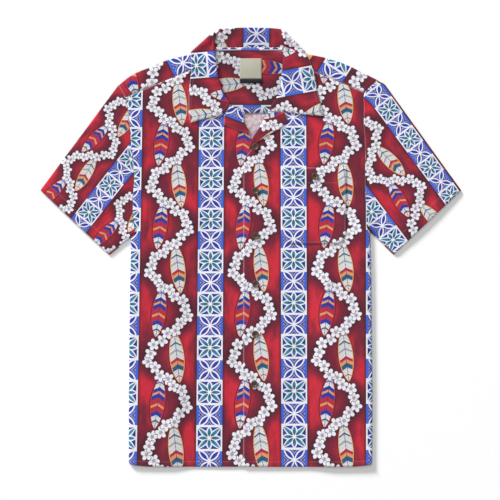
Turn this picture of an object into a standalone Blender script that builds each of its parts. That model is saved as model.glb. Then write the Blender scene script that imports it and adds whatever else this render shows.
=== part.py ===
# Hawaiian shirt laid flat, face up, with its sides turned under. Built in millimetres, stored in metres.
# Left and right are the wearer's: the wearer's left is +X, the collar is +Y, the floor is z = 0.
import math

import bpy
import numpy as np

for old in list(bpy.data.objects):
    bpy.data.objects.remove(old, do_unlink=True)

mm = 0.001
clothWall = 1.1  # one thickness of cloth with its turned edges
lapelWall = 1.5  # front and facing, pressed together
collarWall = 1.8  # two thicknesses and interlining
gap = 0.35  # between pieces that lie on or beside each other
layer = clothWall + gap
floorMid = clothWall / 2
sideTuck = 60.0  # how far each side is turned under
sideTopDrop = 45.0  # how far the turned-under part slopes down from the underarm
frontFold = 4.0  # half depth of the front's roll at the side
backFold = 1.2
yokeFold = 3.0  # half depth of the roll along the shoulder and the sleeve edges
sleevePuff = 0.7
buttonAcross, buttonThick = 12.2, 2.8
hemY = -383.9
frontEdge = -13.0  # edge of the upper front, past the middle
underEdge = 30.2  # edge of the under front
backSeamY, innerYokeY = 242.0, 234.0
neckSeamY, collarTopY = 346.2, 383.9

cotton = ((0.36, 0.05, 0.08, 1), 0.85)
labelCloth = ((0.62, 0.6, 0.52, 1), 0.8)
tabCloth = ((0.03, 0.035, 0.045, 1), 0.8)
coconut = ((0.1, 0.07, 0.05, 1), 0.5)


def table(names, *rows):
    values = np.array(rows, float)
    return {name: values[:, k] for k, name in enumerate(names.split())}


def line(t):
    return np.stack([t["x"], t["y"]], 1)


# side edge of the laid body, from the hem up to the underarm
sideEdge = {
    1: table("y x", (-384, 212), (-267, 212.9), (-182, 211.8), (-75, 210.8), (-2, 209.7), (31, 208.6)),
    -1: table("y x", (-384, -213.1), (-267, -213.1), (-93, -211.3), (4, -209.4), (20, -209.0)),
}
# armhole seam from the underarm up: 8th row is the back yoke seam, 9th the front yoke seam, 11th the shoulder
armhole = {
    1: table("x y", (204.2, 30.8), (202, 64.9), (200.1, 99.9), (199.9, 131.4), (200.3, 161.2), (199.2, 190.9),
             (197.5, 218.9), (197.8, 242), (198.7, 269.7), (209.4, 281.1), (218.6, 289.5)),
    -1: table("x y", (-204.6, 20.3), (-206, 56.2), (-205.6, 91.2), (-203.6, 126.2), (-205.7, 157.7), (-209.5, 187.4),
              (-211.5, 215.4), (-214.5, 242), (-219, 261.6), (-225, 272.3), (-228.9, 280)),
}
# inner edge of each front from the underarm level up: front edge, break, roll line, front yoke seam
innerEdge = {
    1: table("x y", (frontEdge, 30.8), (frontEdge, 73.7), (frontEdge, 113.9), (frontEdge, 147.2), (0.5, 170.5),
             (20, 205.5), (40.5, 243.4), (60, 285.4), (64.5, 327)),
    -1: table("x y", (underEdge, 20.3), (underEdge, 64.9), (underEdge, 108.7), (underEdge, 152.4), (1, 190),
              (-16.5, 219.5), (-44, 254.2), (-62, 287.5), (-69, 323)),
}
yokeSeam = {  # from the armhole to the neck
    1: table("x y", (198.7, 269.7), (163, 285), (115.4, 304.7), (64.5, 327)),
    -1: table("x y", (-219, 261.6), (-162.5, 285.6), (-103.3, 309.6), (-69, 323)),
}
shoulder = {  # outline from the shoulder point to the neck
    1: table("x y", (220.9, 292.9), (203.6, 300.7), (175.6, 315.5), (150.9, 325.7), (132.6, 330.5), (104, 335.8),
             (90, 337.2), (64.5, 340.5)),
    -1: table("x y", (-231.1, 282.8), (-213.8, 297.8), (-198.2, 305), (-172.5, 316.2), (-146.7, 326.7),
              (-112, 335), (-95, 336.5), (-69, 340.5)),
}
cuff = {  # from the underarm side to the top
    1: table("x y", (249.5, -13), (367.9, 99.4)),
    -1: table("x y", (-246.8, -13.7), (-367.8, 99.4)),
}
leafRoll = {  # roll line of each collar leaf, from the gorge up to the back of the neck
    1: table("x y", (30.2, 236.8), (40.2, 254.1), (48.9, 266.5), (52.9, 278.4), (55.2, 307.7), (57.7, 343.7),
             (58.2, 377.3)),
    -1: table("x y", (-34.7, 248.7), (-44.7, 264.4), (-50.8, 276.7), (-56.8, 295.1), (-60.8, 316.9), (-62.9, 343.9),
              (-62.9, 376.4)),
}
leafEdge = {  # from the leaf's point up to the shoulder outline
    1: table("x y", (127.8, 229.4), (125.6, 237.5), (118.6, 262.5), (115.4, 273.3), (111.6, 299.9), (106, 317.1),
             (96, 341.5)),
    -1: table("x y", (-105.4, 217.2), (-108.2, 227.7), (-107.7, 267.9), (-104.9, 295.9), (-103.3, 309.9),
              (-105.1, 340.6)),
}
leafBottom = {  # from the gorge to the leaf's point
    1: table("x y", (30.2, 236.8), (58.4, 236.6), (94.2, 231.9), (127.8, 229.4)),
    -1: table("x y", (-34.7, 248.7), (-47.9, 231.3), (-87.9, 222.9), (-105.4, 217.2)),
}
lapel = {  # roll line and outer edge of each lapel, from the gorge down; the tip is in the second row
    1: table("rollX rollY edgeX edgeY", (30.4, 235.6, 58.5, 235.6), (20.6, 218.9, 64.5, 221), (14.1, 206.7, 51.7, 207.5),
             (4.8, 193.5, 29, 195.5), (1, 183.9, 12.7, 184.3), (-1.5, 174.5, 1.2, 174)),
    -1: table("rollX rollY edgeX edgeY", (-34, 247, -46, 230.2), (-13.2, 233.6, -46.8, 214.4),
              (-12.5, 217.9, -24.9, 205.6), (-5.5, 206.6, -11.5, 200.8), (-3, 201.6, -6.5, 198.4)),
}
pocketRows = table("y left right", (138.4, 53.8, 166.7), (112.2, 53.8, 166.4), (82, 53.8, 166.3), (52, 53.8, 166.1),
                   (22, 53.8, 165.8), (6.5, 64.3, 156.2))
buttonRows = table("x y", (8, 175.2), (8.3, 98.2), (9, 19.4), (8.7, -64.6), (8, -152.1), (6.4, -239.6))
pocketButton = (112.4, 123.5)


def smooth(t):
    t = np.clip(t, 0, 1)
    return t * t * (3 - 2 * t)


def along(points, t):
    steps = np.linalg.norm(np.diff(points, axis=0), axis=1)
    s = np.concatenate([[0], np.cumsum(steps)]) / steps.sum()
    return np.stack([np.interp(t, s, points[:, k]) for k in range(points.shape[1])], -1)


def coons(bottom, top, left, right):
    u = np.linspace(0, 1, len(bottom))
    steps = np.linalg.norm(np.diff(bottom, axis=0), axis=1)
    u = np.concatenate([[0], np.cumsum(steps)]) / steps.sum()
    v = np.linspace(0, 1, len(left))
    u, v = u[None, :, None], v[:, None, None]
    ruled = (1 - v) * bottom[None] + v * top[None] + (1 - u) * left[:, None] + u * right[:, None]
    corners = (1 - u) * (1 - v) * bottom[0] + u * (1 - v) * bottom[-1] + (1 - u) * v * top[0] + u * v * top[-1]
    return ruled - corners


def withZ(flat, z):
    return np.concatenate([flat, np.broadcast_to(z, flat.shape[:-1])[..., None]], -1)


# ---- heights of the layers ----
def edgeX(side, y):
    t = sideEdge[side]
    a = armhole[side]
    return np.where(y <= t["y"][-1], np.interp(y, t["y"], t["x"]), np.interp(y, a["y"], a["x"]) + side * 4.5)


def underarmY(side):
    return armhole[side]["y"][0]


def flapLift(x, y):
    # two thicknesses of each turned-under side; slopes away inwards and above the underarm
    total = 0.0
    for side in (1, -1):
        inside = side * (edgeX(side, y) - x)
        across = 1 - smooth((inside - sideTuck - 9) / 44)
        top = underarmY(side) - sideTopDrop * np.clip(inside / sideTuck, 0, 1)
        total = total + across * (1 - smooth((y - top - 8) / 55))
    return 2 * layer * np.clip(total, 0, 1)


def fallLift(x, y):
    # the collar's fall lies under the back yoke
    top = 1 - smooth((np.abs(x + 4) - 104) / 45)
    return (collarWall + gap) * top * smooth((y - 296) / 28)


def yokeLift(y):
    return layer * smooth((y - 190) / 36)


def frontMid(side, x, y):
    z = floorMid + layer + flapLift(x, y) + fallLift(x * 0.9, y + 6)
    if side == 1:
        return np.maximum(z + layer, z + yokeLift(y))
    return z + yokeLift(y)


def backMid(x, y):
    return floorMid + flapLift(x, y) + fallLift(x, y)


# ---- closed walls from grids of middle points ----
def shell(mid, wall, cells=None, wrap=False):
    rows, cols = mid.shape[:2]
    if cells is None:
        cells = np.ones((rows - 1, cols if wrap else cols - 1), bool)
    normal, share = np.zeros_like(mid), np.zeros((rows, cols))
    listed = list(zip(*np.nonzero(cells)))

    def ring(i, j):
        k = (j + 1) % cols
        return (i, j), (i, k), (i + 1, k), (i + 1, j)

    flat = {}
    for i, j in listed:
        a, b, c, d = (mid[p] for p in ring(i, j))
        n = np.cross(c - a, d - b)
        flat[i, j] = n / max(np.linalg.norm(n), 1e-9)
        for p in ring(i, j):
            normal[p] += flat[i, j]
    normal /= np.maximum(np.linalg.norm(normal, axis=-1, keepdims=True), 1e-9)
    count = np.zeros((rows, cols))
    for i, j in listed:
        for p in ring(i, j):
            share[p] += float(normal[p] @ flat[i, j])
            count[p] += 1
    mitre = np.clip(count / np.maximum(share, 1e-9), 1, 1.2)[..., None]
    points, index = [], {}
    for i, j in listed:
        for p in ring(i, j):
            if p not in index:
                index[p] = len(points)
                off = normal[p] * mitre[p] * wall / 2
                points += [mid[p] + off, mid[p] - off]
    faces = []

    def quad(a, b, c, d):
        faces.extend([(a, b, c), (a, c, d)])

    for i, j in listed:
        a, b, c, d = (index[p] for p in ring(i, j))
        quad(a, b, c, d)
        faces.extend([(a + 1, c + 1, b + 1), (a + 1, d + 1, c + 1)])
        near = [(i - 1, j), (i, j + 1), (i + 1, j), (i, j - 1)]
        for (p, q), (m, n) in zip(((a, b), (b, c), (c, d), (d, a)), near):
            if wrap:
                n %= cols
            if not (0 <= m < cells.shape[0] and 0 <= n < cells.shape[1] and cells[m, n]):
                quad(q, p, p + 1, q + 1)
    points, faces = np.array(points), np.array(faces)
    t = points[faces]
    if (t[:, 0] * np.cross(t[:, 1], t[:, 2])).sum() < 0:
        faces = faces[:, ::-1]
    return points, faces


def addObject(name, points, faces):
    mesh = bpy.data.meshes.new(name)
    points = np.array(points, float)
    points[:, 2] = np.maximum(points[:, 2], 0)
    mesh.from_pydata((points * mm).tolist(), [], np.asarray(faces).tolist())
    mesh.update()
    obj = bpy.data.objects.new(name, mesh)
    bpy.context.scene.collection.objects.link(obj)
    return obj


def finish(obj, look):
    material = bpy.data.materials.new(obj.name)
    material.use_nodes = True
    shader = material.node_tree.nodes["Principled BSDF"]
    shader.inputs["Base Color"].default_value, shader.inputs["Roughness"].default_value = look
    obj.data.materials.append(material)
    return obj


def piece(name, mid, wall, look=cotton, cells=None, wrap=False):
    return finish(addObject(name, *shell(mid, wall, cells, wrap)), look)


def joined(name, parts, look, operation="UNION"):
    first, others = parts[0], parts[1:]
    for k, other in enumerate(others):
        m = first.modifiers.new(f"join{k}", "BOOLEAN")
        m.operation, m.object, m.solver = operation, other, "EXACT"
    graph = bpy.context.evaluated_depsgraph_get()
    mesh = bpy.data.meshes.new_from_object(first.evaluated_get(graph))
    for p in parts:
        bpy.data.objects.remove(p, do_unlink=True)
    mesh.name = name
    obj = bpy.data.objects.new(name, mesh)
    bpy.context.scene.collection.objects.link(obj)
    mesh.materials.clear()
    return finish(obj, look)


# ---- a panel's roll at the side and its turned-under run ----
topRuns = (112, 98, 84, 70, 45, 22, 9)  # distances in from the side edge where the panel has a column
quarter = np.radians([90, 45, 0, -45, -90])


def sideRun(side, y, middle, kind):
    # points from the inside out along one level, round the side edge and under; middle gives the top run's height
    edge = edgeX(side, y)
    d = np.array(topRuns, float)
    x = edge - side * d
    puff = {"front": 0.8, "back": 0.0}[kind] * (1 - smooth((d - 9) / 24))
    z = middle(x, np.full_like(x, y)) + puff
    reach, under, fold = {"front": (clothWall / 2, floorMid, frontFold),
                          "back": (clothWall / 2 + layer + 3.0, floorMid + layer, backFold)}[kind]
    high, half = (z[-1] + under) / 2, (z[-1] - under) / 2
    arcX = edge - side * (reach + fold * (1 - np.cos(quarter)))
    arcZ = high + half * np.sin(quarter)
    runD = np.array([22, 42, sideTuck])
    return (np.concatenate([x, arcX, edge - side * runD]), np.full(15, float(y)),
            np.concatenate([z, arcZ, np.full(3, under)]))


def levelsUp(side):
    top = underarmY(side)
    return np.array([hemY, -350, -300, -250, -195, -140, -90, -50, top - 45, top - 18, top])


def hemCurl(x):
    return np.where(np.abs(x) > 150, 4.8 * np.clip((np.abs(x) - 150) / 63, 0, 1) ** 3, 0)


def lowerPart(side, inner, middle, kind):
    # rows from the hem to the underarm; columns from the inner edge out, round and under
    rows = []
    for y in levelsUp(side):
        x, yy, z = sideRun(side, y, middle, kind)
        innerX = np.array(inner)
        z0 = middle(innerX, np.full_like(innerX, y))
        x, yy, z = (np.concatenate([a, b]) for a, b in ((innerX, x), (np.full_like(innerX, y), yy), (z0, z)))
        out = np.arange(len(x)) - (len(innerX) + len(topRuns))  # 0 at the first point of the roll
        under = np.clip(side * (edgeX(side, y) - x) / sideTuck, 0, 1) * (out > 4)
        slope = smooth((y - underarmY(side) + 120) / 120)
        drop = np.where(out > 0, (0.95 * frontFold * np.minimum(out, 2) / 2 + 0.6) * slope, 0)
        yy = yy - drop - sideTopDrop * under * slope
        yy = yy + np.where(np.isclose(y, hemY), hemCurl(x), 0)
        rows.append(np.stack([x, yy, z], -1))
    return np.array(rows)


# ---- fronts ----
frontGrid = {}
for side, name in ((1, "front_left"), (-1, "front_right")):
    def middle(x, y, side=side):
        return frontMid(side, x, y)

    first = frontEdge if side == 1 else underEdge
    inner = [first, first + side * 16, first + side * 38, first + side * 62] if side == 1 else [30.2, 12, -12, -45, -75]
    low = lowerPart(side, inner, middle, "front")
    across = len(inner) + len(topRuns) + 1
    bottom = low[-1, :across, :2]
    seam = line(yokeSeam[side])[::-1]
    share = np.concatenate([[0], np.cumsum(np.linalg.norm(np.diff(bottom, axis=0), axis=1))])
    top = along(seam, share / share[-1])
    top[:, 1] -= gap / 2
    left = line(innerEdge[side])
    right = line(armhole[side])[:9].copy()
    right[0], right[-1], left[-1], left[0] = bottom[-1], top[-1], top[0], bottom[0]
    flat = coons(bottom, top, left, right)
    up = withZ(flat, middle(flat[..., 0], flat[..., 1]))
    up[0] = low[-1, :across]
    cols = low.shape[1]
    upper = np.full((len(up) - 1, cols, 3), 0.0)
    upper[:, :across] = up[1:]
    upper[:, across:] = up[1:, -1:]
    mid = np.concatenate([low, upper])
    cells = np.ones((len(mid) - 1, cols - 1), bool)
    cells[len(low) - 1:, across - 1:] = False
    frontGrid[side] = (mid, across, len(low) - 1)
    piece(name, mid, clothWall, cells=cells)

# ---- back ----
leftLow = lowerPart(1, [], backMid, "back")
rightLow = lowerPart(-1, [], backMid, "back")
centre = [60.0, 20.0, -20.0, -60.0]
lows = []
for k in range(len(leftLow)):
    y = np.linspace(leftLow[k, 0, 1], rightLow[k, 0, 1], 6)[1:-1]
    if k == 0:
        y[:] = hemY
    x = np.array(centre)
    lows.append(np.concatenate([leftLow[k, ::-1], np.stack([x, y, backMid(x, y)], -1), rightLow[k]]))
low = np.array(lows)
skip = 7
run = slice(skip, low.shape[1] - skip)
bottom = low[-1, run]
upRows = []
for k in range(1, 8):
    a, b = line(armhole[1])[k].copy(), line(armhole[-1])[k].copy()
    if k == 7:
        a[1] = b[1] = backSeamY - gap / 2
    t = (bottom[:, 0] - bottom[0, 0]) / (bottom[-1, 0] - bottom[0, 0])
    flat = a + (b - a) * t[:, None]
    upRows.append(withZ(flat, backMid(flat[:, 0], flat[:, 1])))
upper = np.zeros((7, low.shape[1], 3))
upper[:, run] = upRows
upper[:, :skip] = upper[:, skip:skip + 1]
upper[:, -skip:] = upper[:, -skip - 1:-skip]
backGrid = np.concatenate([low, upper])
cells = np.ones((len(backGrid) - 1, backGrid.shape[1] - 1), bool)
cells[len(low) - 1:, :skip] = cells[len(low) - 1:, -skip:] = False
backGrid[0, :, 1] += 0.6
piece("back", backGrid, clothWall, cells=cells)

# ---- outer yoke: front strip, roll along the shoulder, back part ----
shareAcross = np.array([0, 0.16, 0.36, 0.56, 0.76, 0.9, 1])


def normalOut(points, side):
    step = np.gradient(points, axis=0)
    n = np.stack([step[:, 1], -step[:, 0]], 1) * side
    n /= np.linalg.norm(n, axis=1, keepdims=True)
    return n * np.sign(n[:, 1:2])


def yokeSide(side):
    outline = along(line(shoulder[side]), shareAcross)
    out = normalOut(outline, side)
    seam = along(line(yokeSeam[side]), shareAcross)
    seam[:, 1] += gap / 2
    inset = outline - out * (yokeFold + clothWall / 2)
    inset[0] = line(armhole[side])[10]
    a = line(armhole[side])
    backEnd = np.array([58.0 * side - 2, backSeamY + gap / 2])
    backStart = np.array([a[7, 0], backSeamY + gap / 2])
    t = ((inset[:, 0] - inset[0, 0]) / (inset[-1, 0] - inset[0, 0]))[:, None]
    seamBack = backStart + (backEnd - backStart) * t
    strip = [seam, (seam + inset) / 2, inset]
    strip[1][0] = a[9]
    zTop = floorMid + 2 * layer + fallLift(inset[:, 0], inset[:, 1])
    zLow = backMid(inset[:, 0], inset[:, 1])
    rows = [withZ(p, floorMid + 2 * layer + fallLift(p[:, 0], p[:, 1])) for p in strip]
    for angle in quarter[1:4]:
        flat = inset + out * yokeFold * math.cos(angle)
        rows.append(withZ(flat, (zTop + zLow) / 2 + (zTop - zLow) / 2 * math.sin(angle)))
    backInset = inset.copy()
    backInset[-1] = (58.0 * side - 2, neckSeamY)
    for k, s in enumerate((0, 0.23, 0.5, 1)):
        flat = backInset + (seamBack - backInset) * s
        if k in (1, 2):
            flat[0] = a[10 - k]
        rows.append(withZ(flat, backMid(flat[:, 0], flat[:, 1])))
    return np.array(rows)


yokeLeft, yokeRight = yokeSide(1), yokeSide(-1)
neckCells = 4
middleRows = []
for k in range(len(yokeLeft)):
    t = np.linspace(0, 1, neckCells + 1)[1:-1, None]
    p = yokeLeft[k, -1] + (yokeRight[k, -1] - yokeLeft[k, -1]) * t
    if k >= 6:
        p[:, 2] = backMid(p[:, 0], p[:, 1])
    middleRows.append(p)
yokeGrid = np.concatenate([yokeLeft, np.array(middleRows), yokeRight[:, ::-1]], 1)
cells = np.ones((len(yokeGrid) - 1, yokeGrid.shape[1] - 1), bool)
n = len(shareAcross)
cells[:6, n - 1:n - 1 + neckCells] = False
piece("yoke_outer", yokeGrid, clothWall, cells=cells)

# ---- inner yoke, made from the outer yoke's points ----
innerYoke = yokeGrid[6:10].copy()
innerYoke[..., 2] += layer
innerYoke[0, :n, 1] -= 5
innerYoke[0, -n:, 1] -= 5
innerYoke[0, [n - 2, 1 - n], 1] -= 4
innerYoke[0, n - 1, 0] -= 2
innerYoke[0, -n, 0] += 2
innerYoke[-1, :, 1] = innerYokeY
innerYoke[:, 0, 0] -= 2
innerYoke[:, -1, 0] += 2
piece("yoke_inner", innerYoke, clothWall)

# ---- sleeves: tubes that start at the armhole's own points ----
for side, name in ((1, "sleeve_left"), (-1, "sleeve_right")):
    mid, across, first = frontGrid[side]
    frontEnd = mid[first:first + 9, across - 1]
    yoke = yokeGrid[:, 0 if side == 1 else -1]
    column = skip if side == 1 else backGrid.shape[1] - skip - 1
    backEnd = backGrid[len(low) - 1:, column]
    ring = np.concatenate([frontEnd, yoke[1:3], yoke[3:6], yoke[6:9], backEnd[::-1]])
    high = len(frontEnd) + 2
    count = len(ring)
    away = np.zeros((count, 3))
    flatWay = np.gradient(ring[:, :2], axis=0)
    for k in range(count):
        away[k, 0] = side
    start = ring + away * (clothWall * 0 + gap + 0.1)
    start[0, 1] += 1.2
    start[-1, 1] += 1.2
    # closing roll at the underarm
    a, b = start[-1], start[0]
    close = np.array([a + (b - a) * s + np.array([side * 1.2 * math.sin(math.pi * s), -0.9 * math.sin(math.pi * s), 0])
                      for s in (0.25, 0.5, 0.75)])
    ring0 = np.concatenate([start, close])
    ends = line(cuff[side])
    along0 = np.concatenate([[0], np.cumsum(np.linalg.norm(np.diff(start[:, :2], axis=0), axis=1))])
    topShare = along0[:high] / along0[high - 1]
    lowLen = along0[high + 3:] - along0[high + 3]
    lowShare = 1 - lowLen / lowLen[-1]
    cuffWay = (ends[1] - ends[0]) / np.linalg.norm(ends[1] - ends[0])
    inA, inB = ends[0] + cuffWay * 3.6, ends[1] - cuffWay * 3.6
    topZ, lowZ = floorMid + layer + sleevePuff, floorMid
    target = []
    for t in topShare:
        target.append([*(inA + (inB - inA) * t), topZ])
    for angle in quarter[1:4]:
        target.append([*(inB + cuffWay * 3.0 * math.cos(angle)), (topZ + lowZ) / 2 + (topZ - lowZ) / 2 * math.sin(angle)])
    for t in lowShare:
        target.append([*(inA + (inB - inA) * t), lowZ])
    for angle in (-45, 0, 45):
        r = math.radians(angle)
        target.append([*(inA - cuffWay * 3.0 * math.cos(r)), (topZ + lowZ) / 2 + (topZ - lowZ) / 2 * math.sin(r)])
    target = np.array(target)
    rings = []
    for v in (0, 0.06, 0.14, 0.26, 0.42, 0.6, 0.8, 1):
        p = ring0 + (target - ring0) * v
        p[:, 2] = ring0[:, 2] + (target[:, 2] - ring0[:, 2]) * smooth(v / 0.42)
        puff = math.sin(math.pi * min(v / 0.8, 1)) * 0.5
        p[:high, 2] += puff * np.sin(np.pi * topShare)
        rings.append(p)
    grid = np.array(rings)
    piece(name, grid, clothWall, wrap=True)


# ---- heights of what lies below, for the pieces laid on top ----
class Below:
    def __init__(self):
        self.triangles = []

    def add(self, mid, wall, rows=slice(None), cols=slice(None)):
        g = mid[rows, cols].copy()
        g[..., 2] += wall / 2
        a, b, c, d = g[:-1, :-1], g[:-1, 1:], g[1:, 1:], g[1:, :-1]
        for t in ((a, b, c), (a, c, d)):
            self.triangles.append(np.stack([s.reshape(-1, 3) for s in t], 1))

    def top(self, x, y, reach=4.0):
        tri = np.concatenate(self.triangles)
        a, b, c = tri[:, 0], tri[:, 1], tri[:, 2]
        best = np.full(np.shape(x), -1.0)
        for dx, dy in [(0, 0)] + [(reach * math.cos(r), reach * math.sin(r)) for r in np.arange(0, 6.2, 0.785)]:
            px, py = (np.asarray(x) + dx)[..., None], (np.asarray(y) + dy)[..., None]
            det = (b[:, 0] - a[:, 0]) * (c[:, 1] - a[:, 1]) - (c[:, 0] - a[:, 0]) * (b[:, 1] - a[:, 1])
            det = np.where(np.abs(det) < 1e-6, 1e-6, det)
            u = ((px - a[:, 0]) * (c[:, 1] - a[:, 1]) - (c[:, 0] - a[:, 0]) * (py - a[:, 1])) / det
            v = ((b[:, 0] - a[:, 0]) * (py - a[:, 1]) - (px - a[:, 0]) * (b[:, 1] - a[:, 1])) / det
            hit = (u > -1e-3) & (v > -1e-3) & (u + v < 1.001)
            z = np.where(hit, a[:, 2] + u * (b[:, 2] - a[:, 2]) + v * (c[:, 2] - a[:, 2]), -1)
            best = np.maximum(best, z.max(-1))
        return best


below = Below()
for side in (1, -1):
    mid, across, first = frontGrid[side]
    below.add(mid, clothWall, cols=slice(0, across))
below.add(yokeGrid, clothWall, rows=slice(0, 4), cols=slice(0, n))
below.add(yokeGrid, clothWall, rows=slice(0, 4), cols=slice(-n, None))
below.add(innerYoke, clothWall)

# ---- collar ----
rollNose = np.radians([90, 55, 20, -15, -50])


def withNose(flat, z, roll, inward, half=1.0, depth=2.2):
    # adds the roll along the first column: out over the roll line and down
    nose = []
    for angle in rollNose[1:][::-1]:
        p = flat[:, 0] + inward * depth * math.cos(angle)
        nose.append(withZ(p, z[:, 0] - half + half * math.sin(angle)))
    return np.concatenate([np.stack(nose, 1), withZ(flat, z)], 1)


def leafParts(side):
    v = np.linspace(0, 1, 9)
    roll = along(line(leafRoll[side]), v)
    inward = np.array([[-float(side), 0.0]])
    inset = roll - inward * 2.6
    inward = np.repeat(inward, len(roll), 0)
    edge = along(line(leafEdge[side]), v)
    u = np.array([0, 0.12, 0.33, 0.55, 0.78, 1])
    bottom = along(line(leafBottom[side]), u)
    bottom[0] = inset[0]
    diagonal = np.array([edge[-1] - inset[-1]])[0]
    n = np.array([-diagonal[1], diagonal[0]])
    n = n / np.linalg.norm(n) * np.sign(n[1] if abs(n[1]) > 1e-6 else 1)
    topLine = along(np.array([inset[-1], edge[-1]]), u) - n * 3.9
    left, right = inset.copy(), edge.copy()
    left[-1], right[-1] = topLine[0], topLine[-1]
    flat = coons(bottom, topLine, left, right)
    z = below.top(flat[..., 0], flat[..., 1]) + gap + 0.65 + collarWall / 2
    z[:, 0] = np.maximum(z[:, 0], 5.5 + fallLift(flat[:, 0, 0], flat[:, 0, 1]))
    lowest = z[1:-1].min()
    z = np.maximum(z, lowest)
    for _ in range(2):
        inner = z.copy()
        inner[1:-1] = np.maximum(z[1:-1], (z[:-2] + z[2:]) / 2)
        inner[:, 1:-1] = np.maximum(inner[:, 1:-1], (inner[:, :-2] + inner[:, 2:]) / 2)
        z = inner
    z[-1] = z[-1].max()
    body = withNose(flat, z, roll, inward)
    last = body[-1].copy()
    last[:, 2] = z[-1].max()
    last[:4, :2] = flat[-1, 0] + inward[:1] * np.array([[2.2], [1.65], [1.1], [0.55]])
    body[-1] = last
    lowZ = collarWall / 2
    extra = []
    for angle in quarter[1:4]:
        p = last.copy()
        p[:, :2] += n * 3.0 * math.cos(angle)
        p[:, 2] = (last[:, 2] + lowZ) / 2 + (last[:, 2] - lowZ) / 2 * math.sin(angle)
        extra.append(p)
    for back in (0, 10):
        p = last.copy()
        p[:, :2] -= n * back
        p[:, 2] = lowZ
        extra.append(p)
    return np.concatenate([body, np.array(extra)])


leafGrid = {side: leafParts(side) for side in (1, -1)}
standMid = floorMid + layer / 2 + collarWall + gap
t = np.linspace(0, 1, 9)[:, None]
pairs = [  # y at the ends, y in the middle, x of the left end, x of the right end, z
    (neckSeamY + 0.6, neckSeamY + 0.6, 57.4, -62.2, standMid),
    (364, 364, 57.4, -62.2, standMid),
    (collarTopY - 7, collarTopY - 3.6, 52, -54.5, standMid),
    (collarTopY - 4.8, collarTopY - 1.5, 53, -55.5, standMid * 0.82),
    (collarTopY - 4.2, collarTopY - 0.9, 53, -55.5, standMid * 0.6),
    (collarTopY - 4.8, collarTopY - 1.5, 53, -55.5, standMid * 0.4),
    (collarTopY - 7, collarTopY - 3.6, 54, -57, collarWall / 2),
    (358, 356, 76, -82, collarWall / 2),
    (341, 331, 92, -100, collarWall / 2),
]
rows = []
for endY, midY, leftX, rightX, z in pairs:
    x = leftX + (rightX - leftX) * t[:, 0]
    y = endY + (midY - endY) * np.sin(np.pi * t[:, 0]) ** 0.5
    rows.append(np.stack([x, y, np.full_like(x, z)], -1))
standGrid = np.array(rows)
parts = [addObject("stand", *shell(standGrid, collarWall))]
parts += [addObject(f"leaf{side}", *shell(leafGrid[side], collarWall)) for side in (1, -1)]
joined("collar", parts, cotton)

# ---- lapels ----
lapelGrid = {}
for side, name in ((1, "lapel_left"), (-1, "lapel_right")):
    t = lapel[side]
    roll, edge = np.stack([t["rollX"], t["rollY"]], 1), np.stack([t["edgeX"], t["edgeY"]], 1)
    inward = np.stack([np.full(len(roll), -side), np.zeros(len(roll))], 1).astype(float)
    u = np.array([0, 0.3, 0.65, 1])[None, :, None]
    inset = roll - inward * np.minimum(2.4, np.linalg.norm(edge - roll, axis=1) * 0.4)[:, None]
    flat = inset[:, None] + (edge - inset)[:, None] * u
    z = below.top(flat[..., 0], flat[..., 1], 3.0) + gap + lapelWall / 2
    z = np.maximum(z, np.sort(z.ravel())[len(z.ravel()) // 2])
    lapelGrid[side] = withNose(flat, z, roll, inward, half=0.85, depth=1.9)
    piece(name, lapelGrid[side], lapelWall)

# ---- pocket ----
u = np.array([0, 0.2, 0.4, 0.55, 0.68, 0.8, 0.9, 1])[None]
t = pocketRows
x = t["left"][:, None] + (t["right"] - t["left"])[:, None] * u
y = np.broadcast_to(t["y"][:, None], x.shape)
z = below.top(x, y, 5.0) + gap + clothWall / 2
pocketGrid = np.stack([x, y, z], -1)
piece("pocket", pocketGrid, clothWall)
below.add(pocketGrid, clothWall)
for side in (1, -1):
    below.add(lapelGrid[side], lapelWall, cols=slice(4, None))

# ---- neck binding, label and size tab ----
below.add(standGrid, collarWall, rows=slice(0, 3))


def strip(name, left, right, low, high, across, up, look, wall=1.0, lift=0.0):
    x, y = np.meshgrid(np.linspace(left, right, across), np.linspace(low, high, up))
    z = below.top(x, y, 3.0) + gap + wall / 2 + lift
    return piece(name, np.stack([x, y, z], -1), wall, look)


strip("neck_binding", -60.0, 55.0, 343.9, 348.4, 9, 2, cotton)
strip("neck_label", -18.8, 18.8, 295.2, 330.4, 5, 5, labelCloth)
strip("size_tab", -18.8, 19.7, 287.7, 294.8, 5, 2, tabCloth)


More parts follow.
